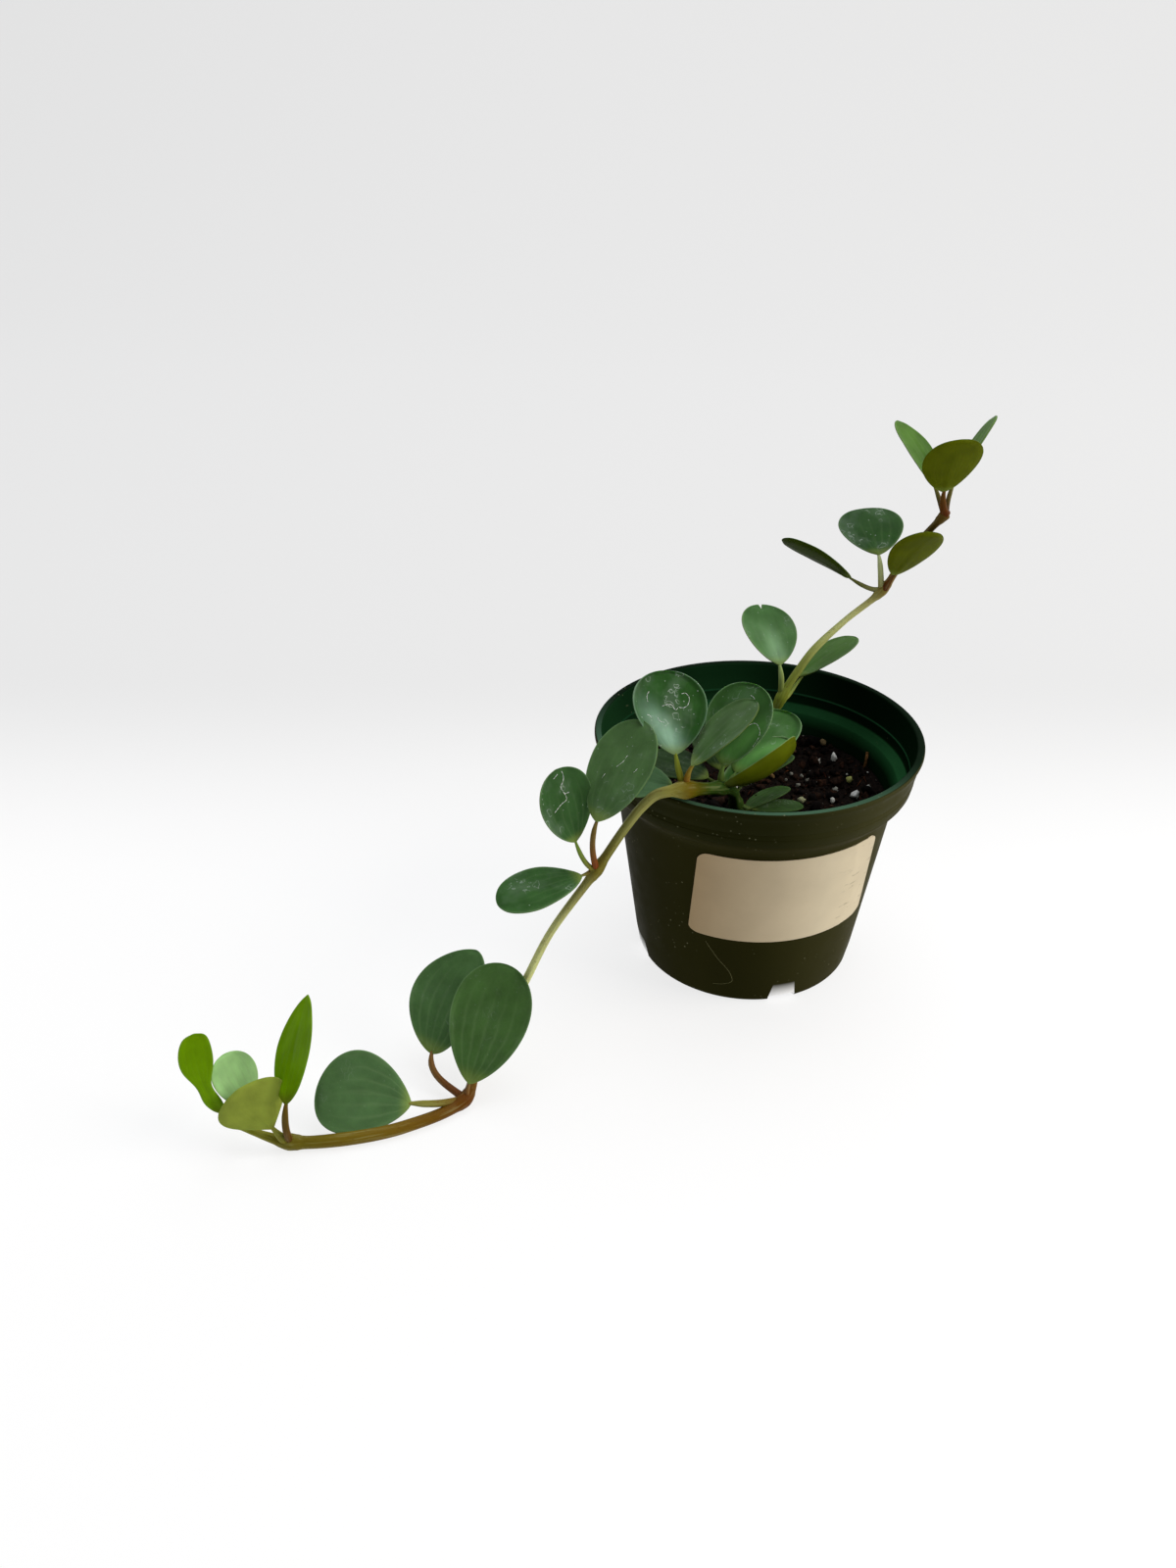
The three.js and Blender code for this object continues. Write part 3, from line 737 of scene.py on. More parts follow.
def fibreRoute(chooser, reach):
    # a fibre creeps over the bed in a slight curve
    x, y = randomSpot(chooser, reach - 3)
    heading = chooser.uniform(0, math.tau)
    length = chooser.uniform(*mix["fibreLength"])
    bend = chooser.uniform(-mix["fibreBend"], mix["fibreBend"])
    route = []
    for _ in mix["fibreShape"]:
        heading += bend
        route.append(Vector((x, y, mixHeight(x, y) + 0.25 + chooser.uniform(0, 0.5))))
        x += length / 4 * math.cos(heading)
        y += length / 4 * math.sin(heading)
        x, y = (x, y) if math.hypot(x, y) < reach - 1 else (x * 0.97, y * 0.97)
    return route


def makeMix():
    chooser = random.Random(mix["seed"])
    peatMaterial = peat()
    finishPiece(bedOfPeat(), "potting_mix_bed", peatMaterial, "potting_mix")

    kinds = {}
    for kind, (count, detail, roughness) in mix["kinds"].items():
        kinds[kind] = [lumpMesh(detail, roughness, i) for i in range(count)]
    reach = mix["edge"] - 0.9
    bm = newGrains()
    for kind, count, sizes, lift, inset in mix["strewn"]:
        strew(bm, kinds[kind], count, sizes, lift, mix["peatTones"], chooser, reach - inset)
    finishPiece(bm, "peat_crumbs", peatMaterial, "potting_mix")

    bm = newGrains()
    for (x, y), size, tone in looseGrains:
        place = Vector((x, y, mixHeight(x, y) + 0.3 + 0.35 * size))
        placeLump(bm, kinds["coarse"][int(size * 10) % 6], place, size, tone, chooser)
    count, sizes, lift = mix["dust"]
    strew(bm, kinds["fine"], count, sizes, lift, mix["dustTones"], chooser, reach)
    finishPiece(bm, "perlite_grains", perlite(), "potting_mix")

    bm = bmesh.new()
    for _ in range(mix["fibres"]):
        route = fibreRoute(chooser, reach)
        thick = chooser.uniform(*mix["fibreThick"])
        radii = [thick * share for share in mix["fibreShape"]]
        tone = toLinear(chooser.choice(mix["fibreTones"]))
        joinInto(bm, sweptTube(route, radii, [tone] * len(route), mix["fibreSides"], "grainTone"))
    stick = [Vector(place) for place in mix["stick"]]
    stickTones = [toLinear(mix["stickTone"])] * len(stick)
    joinInto(bm, sweptTube(stick, mix["stickRadii"], stickTones, mix["stickSides"], "grainTone"))
    finishPiece(bm, "bark_fibres", peatMaterial, "potting_mix")
    for spent in kinds["coarse"] + kinds["fine"]:
        bpy.data.meshes.remove(spent)
    print("potting mix made")


# Stems and leaf stalks: fleshy, ridged lengthwise, swollen at each node

flesh = {
    "ringStep": 0.9,
    "sides": 20,
    "ridges": 7,
    "ridgeDepth": 0.035,
    "nodeSwell": 0.7,
    "nodeReach": 2.8,
    "scarHeight": 0.12,
    "scarPlace": 2.6,
    "scarWidth": 0.5,
    "stalkSides": 12,
    "stalkSteps": 16,
    "stalkRadius": 0.75,
    "stalkFlare": 0.15,
    "stalkFoot": 0.45,
    "stalkFootReach": 1.6,
    "stalkSunk": 2.6,
    "stalkBend": 0.4,
    "stalkRise": 0.3,
    "stalkTaper": 0.55,
    # a blunt growing tip: steps ahead, and shares of the radius before
    "tip": [(0.3, 0.85), (0.54, 0.6), (0.69, 0.25)],
    "streak": "#55340f",
    "paleStreak": "#c6c68c",
    "freckle": "#5a3212",
}


def sweptTube(route, radii, tones, sides, toneName, ridges=0, ridgeDepth=0.0):
    # a ring is drawn at the start and extruded from place to place along the route
    bm = bmesh.new()
    toneLayer = bm.verts.layers.float_color.new(toneName)
    placeLayer = bm.verts.layers.float_vector.new("fleshPlace")
    bmesh.ops.create_circle(bm, cap_ends=True, segments=sides, radius=1)
    for vert in bm.verts:
        turn = math.atan2(vert.co.y, vert.co.x)
        vert.co *= 1 + ridgeDepth * math.cos(ridges * turn)
    ring = bm.verts[:]
    edges = bm.edges[:]
    frameNow = Matrix.Identity(4)
    direction = (route[1] - route[0]).normalized()
    turned = direction.to_track_quat("Z", "Y")
    travelled = 0.0
    for i, (place, radius, tone) in enumerate(zip(route, radii, tones)):
        if i:
            travelled += (place - route[i - 1]).length
            ahead = (route[min(i + 1, len(route) - 1)] - route[i - 1]).normalized()
            turned = direction.rotation_difference(ahead) @ turned
            direction = ahead
            pulled = bmesh.ops.extrude_edge_only(bm, edges=edges)["geom"]
            ring = [g for g in pulled if isinstance(g, bmesh.types.BMVert)]
            edges = [g for g in pulled if isinstance(g, bmesh.types.BMEdge)]
            edges = [e for e in edges if e.verts[0] in ring and e.verts[1] in ring]
        frameNext = Matrix.LocRotScale(place, turned, (radius,) * 3)
        bmesh.ops.transform(bm, matrix=frameNext @ frameNow.inverted(), verts=ring)
        frameNow = frameNext
        flatten = turned.inverted()
        for vert in ring:
            local = flatten @ (vert.co - place)
            vert[placeLayer] = (local.x * mm, local.y * mm, travelled * mm)
            vert[toneLayer] = tone
    bmesh.ops.contextual_create(bm, geom=edges)
    return bm


def catmullRom(places, stepLength):
    # centripetal Catmull-Rom curve: each place with its share of the way from point to point
    points = [2 * places[0] - places[1], *places, 2 * places[-1] - places[-2]]
    route = []
    for i in range(len(places) - 1):
        before, start, end, after = points[i:i + 4]
        gaps = [math.sqrt((b - a).length) for a, b in zip((before, start, end), (start, end, after))]
        leave = (start - before) / gaps[0] - (end - before) / (gaps[0] + gaps[1]) + (end - start) / gaps[1]
        arrive = (end - start) / gaps[1] - (after - start) / (gaps[1] + gaps[2]) + (after - end) / gaps[2]
        steps = max(3, round((end - start).length / stepLength))
        handles = start + leave * gaps[1] / 3, end - arrive * gaps[1] / 3
        piece = geometry.interpolate_bezier(start, *handles, end, steps + 1)
        route += [(place, i + k / steps) for k, place in enumerate(piece[:-1])]
    route.append((points[-2], len(places) - 1.0))
    return route


def smoothed(pairs, step):
    return [(place.x, place.y) for place, _ in catmullRom([Vector((a, b, 0)) for a, b in pairs], step)]


def stemTube(stem):
    nodes = [Vector(row[0]) for row in stem if row[2]]
    route, radii, tones = [], [], []
    for place, at in catmullRom([Vector(row[0]) for row in stem], flesh["ringStep"]):
        i = min(int(at), len(stem) - 2)
        share = at - i
        radius = stem[i][1] + (stem[i + 1][1] - stem[i][1]) * share
        for node in nodes:
            away = (place - node).length
            scar = (away - flesh["scarPlace"]) / flesh["scarWidth"]
            radius += flesh["nodeSwell"] * math.exp(-((away / flesh["nodeReach"]) ** 2))
            radius += flesh["scarHeight"] * math.exp(-(scar ** 2))
        route.append(place)
        radii.append(radius)
        tones.append(mixedTone(toLinear(stem[i][3]), toLinear(stem[i + 1][3]), share))
    ahead = (route[-1] - route[-2]).normalized()
    for step, share in flesh["tip"]:
        route.append(route[-1] + ahead * step)
        radii.append(radii[-1] * share)
        tones.append(tones[-1])
    return sweptTube(route, radii, tones, flesh["sides"], "fleshTone", flesh["ridges"], flesh["ridgeDepth"])


def leafStalk(leaf, nodePlace):
    # leaves the node nearly level, turns into the blade's own line and tapers out inside the blade
    along = bladeAxes(leaf)[0]
    base = Vector(leaf["base"])
    reach = (base - nodePlace).length
    leave = base - nodePlace
    leave.z *= flesh["stalkRise"]
    sag = Vector((0, 0, leaf["sag"]))
    start = nodePlace + leave * flesh["stalkBend"] - sag
    end = base - along * flesh["stalkBend"] * reach - sag
    steps = flesh["stalkSteps"]
    last = base + along * flesh["stalkSunk"]
    route = geometry.interpolate_bezier(nodePlace, start, end, last, steps + 1)
    radii, tones = [], []
    first, second = (toLinear(tone) for tone in finishOf(leaf)["stalkTones"])
    for i in range(steps + 1):
        share = i / steps
        radius = flesh["stalkRadius"] * leaf["stalk"] * (1 + flesh["stalkFlare"] * (1 - 2 * share))
        radius += flesh["stalkFoot"] * math.exp(-((share * reach / flesh["stalkFootReach"]) ** 2))
        sunk = smoothStep(share, 1 - 2 * flesh["stalkSunk"] / (reach + flesh["stalkSunk"]), 1)
        radii.append(radius * (1 - flesh["stalkTaper"] * sunk))
        tones.append(mixedTone(first, second, smoothStep(share, 0.1, 0.85)))
    return sweptTube(route, radii, tones, flesh["stalkSides"], "fleshTone")


def stemFlesh():
    # succulent stem: satin skin, pale green to red-brown, with fine brown lines along it
    material, tree, _ = newMaterial(
        "peperomia_stem_fleshy",
        {
            "Roughness": 0.42,
            "IOR": 1.42,
            "Specular IOR Level": 0.06,
            "Subsurface Weight": 0.15,
            "Subsurface Radius": (1.0, 0.7, 0.3),
            "Subsurface Scale": 0.0012,
        },
    )
    tone = addNode(tree, "Attribute", {"attribute_name": "fleshTone"}, "Color")
    own = addNode(tree, "Attribute", {"attribute_name": "fleshPlace"}, "Vector")
    # lines 0.7 mm wide and 11 mm long, brown in some places and pale in others
    drawn = addNode(tree, "Mapping", {"Scale": (1500, 1500, 90), "Vector": own})
    lines = addNode(tree, "TexNoise", {"Scale": 1, "Detail": 3, "Vector": drawn})
    brown = addNode(tree, "MapRange", {1: 0.52, 2: 0.68, 4: 0.22, 0: lines})
    lined = addNode(tree, "Mix", {**colourMix, 7: toLinear(flesh["streak"]), 0: brown, 6: tone}, 2)
    pale = addNode(tree, "MapRange", {1: 0.3, 2: 0.45, 3: 0.15, 4: 0, 0: lines})
    paler = addNode(tree, "Mix", {**colourMix, 7: toLinear(flesh["paleStreak"]), 0: pale, 6: lined}, 2)
    # freckles 0.5 mm across
    dots = addNode(tree, "TexVoronoi", {"Scale": 520, "Vector": own})
    freckle = addNode(tree, "MapRange", {1: 0.08, 2: 0.2, 3: 0.35, 4: 0, 0: dots})
    freckled = addNode(tree, "Mix", {**colourMix, 7: toLinear(flesh["freckle"]), 0: freckle, 6: paler}, 2)
    relief = {"Strength": 0.3, "Distance": 0.0002, "Height": lines}
    return finishMaterial(material, {"Base Color": freckled}, relief)


# Leaf blades

blade = {
    "around": 60,
    "rings": 46,
    "middle": 1.3,
    "edge": 0.7,
    "edgeRound": 0.4,
    "poleThin": 0.35,
    "notchSpread": 1.2,
    "notchPower": 6,
    "waistPlace": 0.38,
    "waistReach": 0.2,
    "veinSpacing": 0.3,
    "midribDepth": 0.28,
    "midribReach": 0.9,
    "sideVeinDepth": 0.035,
    "pucker": 0.22,
    "puckerSize": 8,
    "rimReach": 2.2,
    "marginReach": 0.7,
    "neckReach": 0.16,
    "veinTone": "#86a070",
    "lowerVeinTone": "#80802c",
    "mineralTone": "#aab8ac",
    "sheenReach": 0.17,
    "driedShow": 0.42,
    "driedThick": 0.09,
    "driedStep": 0.04,
    "driedBeads": 0.4,
    "driedSides": 4,
    "neckShow": 0.7,
    "lowerNeckShow": 0.5,
}
plainLeaf = {
    "roll": 0,
    "cup": 0.06,
    "arch": 0.02,
    "sweep": 0,
    "widest": 0.6,
    "taper": 1.25,
    "waist": 0,
    "notch": 0,
    "stalk": 1,
    "sag": 0,
    "finish": "grown",
    "marks": [],
}

# Colours of a leaf: its upper and lower skin, the neck of the blade, its margin, the glow along its
# middle, which is a painted highlight standing for the lamp's sheen, and its stalk from node to blade.
# Rim is how far the margin stands up in millimetres; margin, glow, veins and mineral are how strongly
# each shows, and lean draws the glow to one side.
plainFinish = {
    "upper": "#3d5c31",
    "lower": "#4f5c14",
    "neck": "#7d8f45",
    "rim": 0.22,
    "margin": ("#6e8a62", 0.5),
    "glow": ("#6d9270", 0.0),
    "lean": 0,
    "stalkTones": ("#6b3d1c", "#7c7c3c"),
    "veins": 0.07,
    "mineral": 0.12,
}
leafFinishes = {
    "grown": {},
    "cupped": dict(
        upper="#264a1e", rim=1.0, margin=("#7d9a80", 0.6), glow=("#8db39a", 0.85), lean=-1.0,
        stalkTones=("#6d6a18", "#7f8a2e"), mineral=0.7, veins=0.05,
    ),
    "dusty": dict(
        upper="#456136", rim=0.5, margin=("#5c6c48", 0.5), stalkTones=("#7c460e", "#7a6a22"),
        mineral=0.5, veins=0.02,
    ),
    "crown": dict(
        upper="#3a602e", rim=0.9, margin=("#7c9c74", 0.6), glow=("#6aa854", 0.75), lean=1.2,
        stalkTones=("#5f7028", "#6f9048"), mineral=0.35, veins=0.08,
    ),
    "folded": dict(
        upper="#3f6a2e", lower="#525c08", rim=0.5, margin=("#86a377", 0.85),
        stalkTones=("#5a6a28", "#6a8040"), mineral=0.15,
    ),
    "shaded": dict(
        upper="#23381c", lower="#3a4a10", margin=("#3c5230", 0.3), stalkTones=("#55652c", "#5c7438"),
    ),
    # partly painted shade: the low leaves by the soil sit under the crown, and their dark skin stands for
    # that shade as well as their own dull green
    "dull": dict(
        upper="#324c24", lower="#3a4e22", margin=("#4c6438", 0.3), stalkTones=("#425a2a", "#4a6432"),
        mineral=0.2,
    ),
    "veined": dict(upper="#46663a", stalkTones=("#6a4020", "#7a5a30"), veins=0.13),
    "spotted": dict(upper="#31502a", stalkTones=("#7c7430", "#6f8a38"), mineral=0.6),
    # young bright leaves: the dark brown neck is painted shade at the base of the blade
    "youngBright": dict(
        upper="#648c00", lower="#5c7c00", neck="#5c5a12", margin=("#6f9030", 0.3),
        stalkTones=("#5a3c14", "#5c4a14"), veins=0.03, mineral=0,
    ),
    "youngOlive": dict(
        upper="#93a048", lower="#8a983c", neck="#7a6a1c", margin=("#6a7430", 0.4),
        stalkTones=("#6a5418", "#7a7428"), veins=0.03, mineral=0,
    ),
    "youngPale": dict(
        upper="#8fb878", lower="#7fa65c", neck="#7f9a40", margin=("#7f9f5a", 0.4),
        stalkTones=("#6a6a28", "#7f8f38"), veins=0.35, mineral=0.05,
    ),
    "light": dict(
        upper="#4a6c2c", lower="#4a6424", margin=("#7f9a60", 0.4), stalkTones=("#4a3018", "#5c5a2a"),
        mineral=0.05,
    ),
    "backlit": dict(
        upper="#3c5628", lower="#4d5504", margin=("#5c6a20", 0.4), stalkTones=("#54280c", "#5c3c10"),
        veins=0.04, mineral=0,
    ),
    "bright": dict(
        upper="#4c7242", margin=("#86a070", 0.5), glow=("#86ab84", 0.65),
        stalkTones=("#7c8a38", "#8aa060"), mineral=0.3,
    ),
    "slim": dict(
        upper="#2f4014", lower="#2c3a02", stalkTones=("#8e8e5a", "#5c602a"), veins=0.02, mineral=0,
    ),
}


def finishOf(leaf):
    return {**plainFinish, **leafFinishes[leaf["finish"]], **leaf}


def bladeAxes(leaf):
    # along the blade, out of its upper face, and across it
    heading, lift, roll = (math.radians(leaf[name]) for name in ("heading", "lift", "roll"))
    along = Vector((math.cos(lift) * math.cos(heading), math.cos(lift) * math.sin(heading), math.sin(lift)))
    up = Vector((-math.sin(lift) * math.cos(heading), -math.sin(lift) * math.sin(heading), math.cos(lift)))
    across = along.cross(up)
    face = up * math.cos(roll) + across * math.sin(roll)
    side = across * math.cos(roll) - up * math.sin(roll)
    return along, face, side


def outlineShare(s, leaf):
    widest, taper = leaf["widest"], leaf["taper"]
    plain = (s / widest) ** (taper * widest) * ((1 - s) / (1 - widest)) ** (taper * (1 - widest))
    return plain * (1 - leaf["waist"] * math.exp(-(((s - blade["waistPlace"]) / blade["waistReach"]) ** 2)))


def bladePoint(leaf, finish, seed, u, s, out):
    # a place on the skin: u across the half width, s along the blade, out to its upper or lower side
    along, face, side = bladeAxes(leaf)
    length = leaf["length"]
    half = leaf["width"] / 2 * outlineShare(min(1, max(0, s)), leaf)
    bow = 4 * s * (1 - s)
    thick = (blade["edge"] + (blade["middle"] - blade["edge"]) * (1 - u * u)) / 2
    thick *= math.copysign(abs(out) ** blade["edgeRound"], out) if abs(out) > 1e-6 else 0
    thick *= blade["poleThin"] + (1 - blade["poleThin"]) * smoothStep(bow, 0, 0.25)
    dent = max(0, 1 - abs(u) * blade["notchSpread"]) * s ** blade["notchPower"]
    dent *= leaf["notch"] * length
    rise = leaf["arch"] * length * bow + leaf["cup"] * half * u * u
    middle = math.exp(-((half * u / blade["midribReach"]) ** 2))
    middle *= max(0, 1 - s) ** 0.6 * smoothStep(s, 0, 0.1)
    between = abs(abs(u) % blade["veinSpacing"] - blade["veinSpacing"] / 2) * 2 / blade["veinSpacing"]
    veins = between ** 6 * smoothStep(bow, 0, 0.5) * smoothStep(abs(u), 0.1, 0.3)
    rise -= blade["midribDepth"] * middle + blade["sideVeinDepth"] * veins
    fromEdge = half * (1 - abs(u))
    rise += finish["rim"] * (1 - smoothStep(fromEdge, 0.2, blade["rimReach"])) * smoothStep(s, 0.08, 0.4)
    spot = Vector((half * u, length * s, seed * 37.7)) / blade["puckerSize"]
    rise += blade["pucker"] * noise.noise(spot) * smoothStep(bow, 0, 0.4)
    at = Vector(leaf["base"]) + along * (length * s - dent)
    at += side * (half * u + leaf["sweep"] * length * bow)
    return at + face * (rise + thick), half


def leafBlade(leaf, seed):
    # a sphere pressed into a blade: its poles become the base and the tip
    finish = finishOf(leaf)
    upper, lower, neck = (toLinear(finish[name]) for name in ("upper", "lower", "neck"))
    margin, glow = toLinear(finish["margin"][0]), toLinear(finish["glow"][0])
    bm = bmesh.new()
    upperLayer = bm.verts.layers.float_color.new("upperTone")
    lowerLayer = bm.verts.layers.float_color.new("lowerTone")
    marksLayer = bm.verts.layers.float_color.new("leafMarks")
    bmesh.ops.create_uvsphere(bm, u_segments=blade["around"], v_segments=blade["rings"], radius=1)
    bladeMap = bm.loops.layers.uv.new("bladeMap")
    spots = {}
    for vert in bm.verts:
        ring = math.hypot(vert.co.x, vert.co.y)
        pole = ring < 1e-4
        s = 0.5 - vert.co.z / 2
        u = 0.0 if pole else vert.co.x / ring
        out = 0.0 if pole else vert.co.y / ring
        spots[vert.index] = (u / 2 + 0.5, s)
        vert.co, half = bladePoint(leaf, finish, seed, u, s, out)
        # painted highlight: the glow tone lightens a band along the middle of the upper face
        leaning = half * (u - finish["lean"] * s) / (blade["sheenReach"] * leaf["width"])
        shine = finish["glow"][1] * math.exp(-(leaning ** 2)) * (1 - smoothStep(s, 0.2, 0.85))
        fromEdge = half * (1 - abs(u))
        edging = finish["margin"][1] * (1 - smoothStep(fromEdge, 0.1, blade["marginReach"]))
        nearNeck = 1 - smoothStep(s, 0, blade["neckReach"])
        tone = mixedTone(mixedTone(upper, glow, shine), neck, blade["neckShow"] * nearNeck)
        vert[upperLayer] = mixedTone(tone, margin, edging * smoothStep(s, 0, 0.15))
        vert[lowerLayer] = mixedTone(lower, neck, blade["lowerNeckShow"] * nearNeck)
        vert[marksLayer] = (finish["veins"], finish["mineral"], smoothStep(-out, -0.12, 0.12), 1)
    for loopFace in bm.faces:
        for loop in loopFace.loops:
            loop[bladeMap].uv = spots[loop.vert.index]
    # dried mineral stands on the skin as hair-fine ridges
    dried = mixedTone(upper, toLinear(blade["mineralTone"]), blade["driedShow"])
    for mark in leaf["marks"]:
        route = []
        for u, s in smoothed(mark, blade["driedStep"]):
            route.append(bladePoint(leaf, finish, seed, u, s, math.sqrt(1 - u * u))[0])
        # thick and thin by turns, as drops dry
        beads = blade["driedBeads"]
        radii = [blade["driedThick"] * (1 - beads + beads * math.sin(2.3 * i)) for i in range(len(route))]
        joinInto(bm, sweptTube(route, radii, [dried] * len(route), blade["driedSides"], "upperTone"))
    return bm


def waxyLeaf():
    # thick waxy leaf: semi-gloss cuticle, faint veins that arc from base to tip, and curls and specks
    # of dried mineral left by hard water
    material, tree, place = newMaterial(
        "peperomia_leaf_waxy",
        {
            "IOR": 1.45,
            "Specular IOR Level": 0.02,
            "Subsurface Weight": 0.12,
            "Subsurface Radius": (0.5, 1.0, 0.25),
            "Subsurface Scale": 0.0012,
        },
    )
    times = {"operation": "MULTIPLY"}
    bladePlace = addNode(tree, "UVMap", {"uv_map": "bladeMap"})
    layers = "upperTone", "lowerTone", "leafMarks"
    upper, lower, markTone = (addNode(tree, "Attribute", {"attribute_name": it}, "Color") for it in layers)
    marks = addNode(tree, "SeparateColor", {0: markTone}).node.outputs
    split = addNode(tree, "SeparateXYZ", {0: bladePlace}).node.outputs
    centred = addNode(tree, "MapRange", {3: -1, 4: 1, 0: split["X"]})
    across = addNode(tree, "Math", {"operation": "ABSOLUTE", 0: centred})

    # main veins run at equal shares of the half width, and wander by a few hundredths of it
    sway = addNode(tree, "TexNoise", {"Scale": 170, "Detail": 2, "Vector": place})
    wander = addNode(tree, "MapRange", {1: 0.2, 2: 0.8, 3: -0.05, 4: 0.05, 0: sway})
    swayed = addNode(tree, "Math", {"operation": "ADD", 0: across, 1: wander})
    fromVein = addNode(tree, "Math", {"operation": "PINGPONG", 0: swayed, 1: blade["veinSpacing"] / 2})
    drawn = addNode(tree, "MapRange", {1: 0, 2: 0.07, 3: 1, 4: 0, 0: fromVein})
    fading = addNode(tree, "MapRange", {1: 0.4, 2: 0.95, 3: 1, 4: 0, 0: split["Y"]})
    mainVein = addNode(tree, "Math", {**times, 0: drawn, 1: fading})
    # the net between them has meshes 2.4 mm wide
    net = addNode(tree, "TexVoronoi", {"feature": "DISTANCE_TO_EDGE", "Scale": 420, "Vector": place})
    netVein = addNode(tree, "MapRange", {1: 0, 2: 0.12, 3: 0.18, 4: 0, 0: net})
    veins = addNode(tree, "Math", {"operation": "MAXIMUM", 0: mainVein, 1: netVein})
    veinShow = addNode(tree, "Math", {**times, 0: veins, 1: marks["Red"]})

    # growth shades the blade in clouds 6 mm wide
    cloud = addNode(tree, "TexNoise", {"Scale": 160, "Detail": 4, "Vector": place})
    growth = cloud, (0.25, 0.75), (0.8, 1.2)
    clouded = variedTone(tree, upper, *growth)
    veined = addNode(tree, "Mix", {**colourMix, 7: toLinear(blade["veinTone"]), 0: veinShow, 6: clouded}, 2)

    # rings and curls of mineral about 2 mm wide, and specks of 0.4 mm, in patches
    patch = addNode(tree, "TexNoise", {"Scale": 110, "Detail": 3, "Vector": place})
    warp = addNode(tree, "TexNoise", {"Scale": 380, "Detail": 2, "Vector": place}, "Color")
    moved = addNode(tree, "VectorMath", {"operation": "SCALE", "Scale": 0.004, 0: warp})
    warped = addNode(tree, "VectorMath", {"operation": "ADD", 0: place, 1: moved})
    cells = addNode(tree, "TexVoronoi", {"Scale": 300, "Vector": warped})
    fromRing = addNode(tree, "Math", {"operation": "SUBTRACT", 1: 0.33, 0: cells})
    nearRing = addNode(tree, "Math", {"operation": "ABSOLUTE", 0: fromRing})
    curl = addNode(tree, "MapRange", {1: 0.01, 2: 0.05, 3: 0.8, 4: 0, 0: nearRing})
    gathered = addNode(tree, "MapRange", {1: 0.54, 2: 0.62, 0: patch})
    curls = addNode(tree, "Math", {**times, 0: curl, 1: gathered})
    dots = addNode(tree, "TexVoronoi", {"Scale": 700, "Vector": place})
    speck = addNode(tree, "MapRange", {1: 0.1, 2: 0.17, 3: 0.9, 4: 0, 0: dots})
    chance = addNode(tree, "SeparateColor", {0: dots.node.outputs["Color"]})
    chosen = addNode(tree, "MapRange", {1: 0.8, 2: 0.82, 0: chance})
    specks = addNode(tree, "Math", {**times, 0: speck, 1: chosen})
    haze = addNode(tree, "MapRange", {1: 0.5, 2: 0.75, 4: 0.2, 0: patch})
    dried = addNode(tree, "Math", {"operation": "MAXIMUM", 0: curls, 1: specks})
    mineral = addNode(tree, "Math", {"operation": "MAXIMUM", 0: dried, 1: haze})
    mineralShow = addNode(tree, "Math", {**times, 0: mineral, 1: marks["Green"]})
    crust = {**colourMix, 7: toLinear(blade["mineralTone"])}
    upperDone = addNode(tree, "Mix", {**crust, 0: mineralShow, 6: veined}, 2)

    lowerVein = {**colourMix, 7: toLinear(blade["lowerVeinTone"])}
    lowerDone = addNode(tree, "Mix", {**lowerVein, 0: veinShow, 6: variedTone(tree, lower, *growth)}, 2)
    skin = addNode(tree, "Mix", {**colourMix, 0: marks["Blue"], 6: upperDone, 7: lowerDone}, 2)

    wax = addNode(tree, "MapRange", {1: 0.3, 2: 0.7, 3: 0.3, 4: 0.42, 0: cloud})
    dusty = addNode(tree, "Math", {"operation": "MULTIPLY_ADD", 1: 0.3, 0: mineralShow, 2: wax})
    dull = addNode(tree, "Math", {"operation": "MULTIPLY_ADD", 1: 0.12, 0: marks["Blue"], 2: dusty})
    pores = addNode(tree, "TexNoise", {"Scale": 1300, "Detail": 2, "Vector": place})
    relief = addNode(tree, "Math", {"operation": "SUBTRACT", 0: pores, 1: veins})
    bump = {"Strength": 0.14, "Distance": 0.0002, "Height": relief}
    return finishMaterial(material, {"Base Color": skin, "Roughness": dull}, bump)


def leaf(node, base, heading, lift, length, width, finish="grown", **extras):
    given = {"node": node, "base": base, "heading": heading, "lift": lift, "length": length}
    return {**plainLeaf, **given, "width": width, "finish": finish, **extras}


# Dried rims of water drops on a leaf's upper face: places as shares of its half width and length
cuppedMarks = [
    [(0.39, 0.71), (0.52, 0.71), (0.57, 0.66), (0.51, 0.58), (0.38, 0.54), (0.25, 0.55)],
    [(-0.2, 0.57), (-0.05, 0.59), (0.07, 0.58), (0.14, 0.52), (0.22, 0.54)],
    [(-0.39, 0.44), (-0.36, 0.4), (-0.24, 0.38)],
    [(-0.66, 0.48), (-0.58, 0.46), (-0.57, 0.44)],
    [(-0.53, 0.75), (-0.58, 0.7), (-0.57, 0.63)],
]
crownMarks = [
    [(0.27, 0.49), (0.39, 0.54), (0.53, 0.57), (0.72, 0.52), (0.84, 0.44), (0.93, 0.31)],
    [(0.05, 0.86), (0.19, 0.85), (0.25, 0.83)],
]
hangingMarks = [
    [(0.05, 0.65), (0.01, 0.59), (-0.11, 0.52)],
    [(0.53, 0.56), (0.48, 0.52)],
    [(-0.36, 0.43), (-0.41, 0.38)],
]
spottedMarks = [
    [(0.18, 0.86), (0.06, 0.81), (-0.07, 0.77), (0.01, 0.67), (0.03, 0.6), (-0.21, 0.57), (-0.53, 0.51)],
    [(0.3, 0.95), (0.18, 0.86)],
    [(0.01, 0.67), (0.16, 0.66)],
    [(-0.05, 0.94), (-0.33, 0.91)],
]

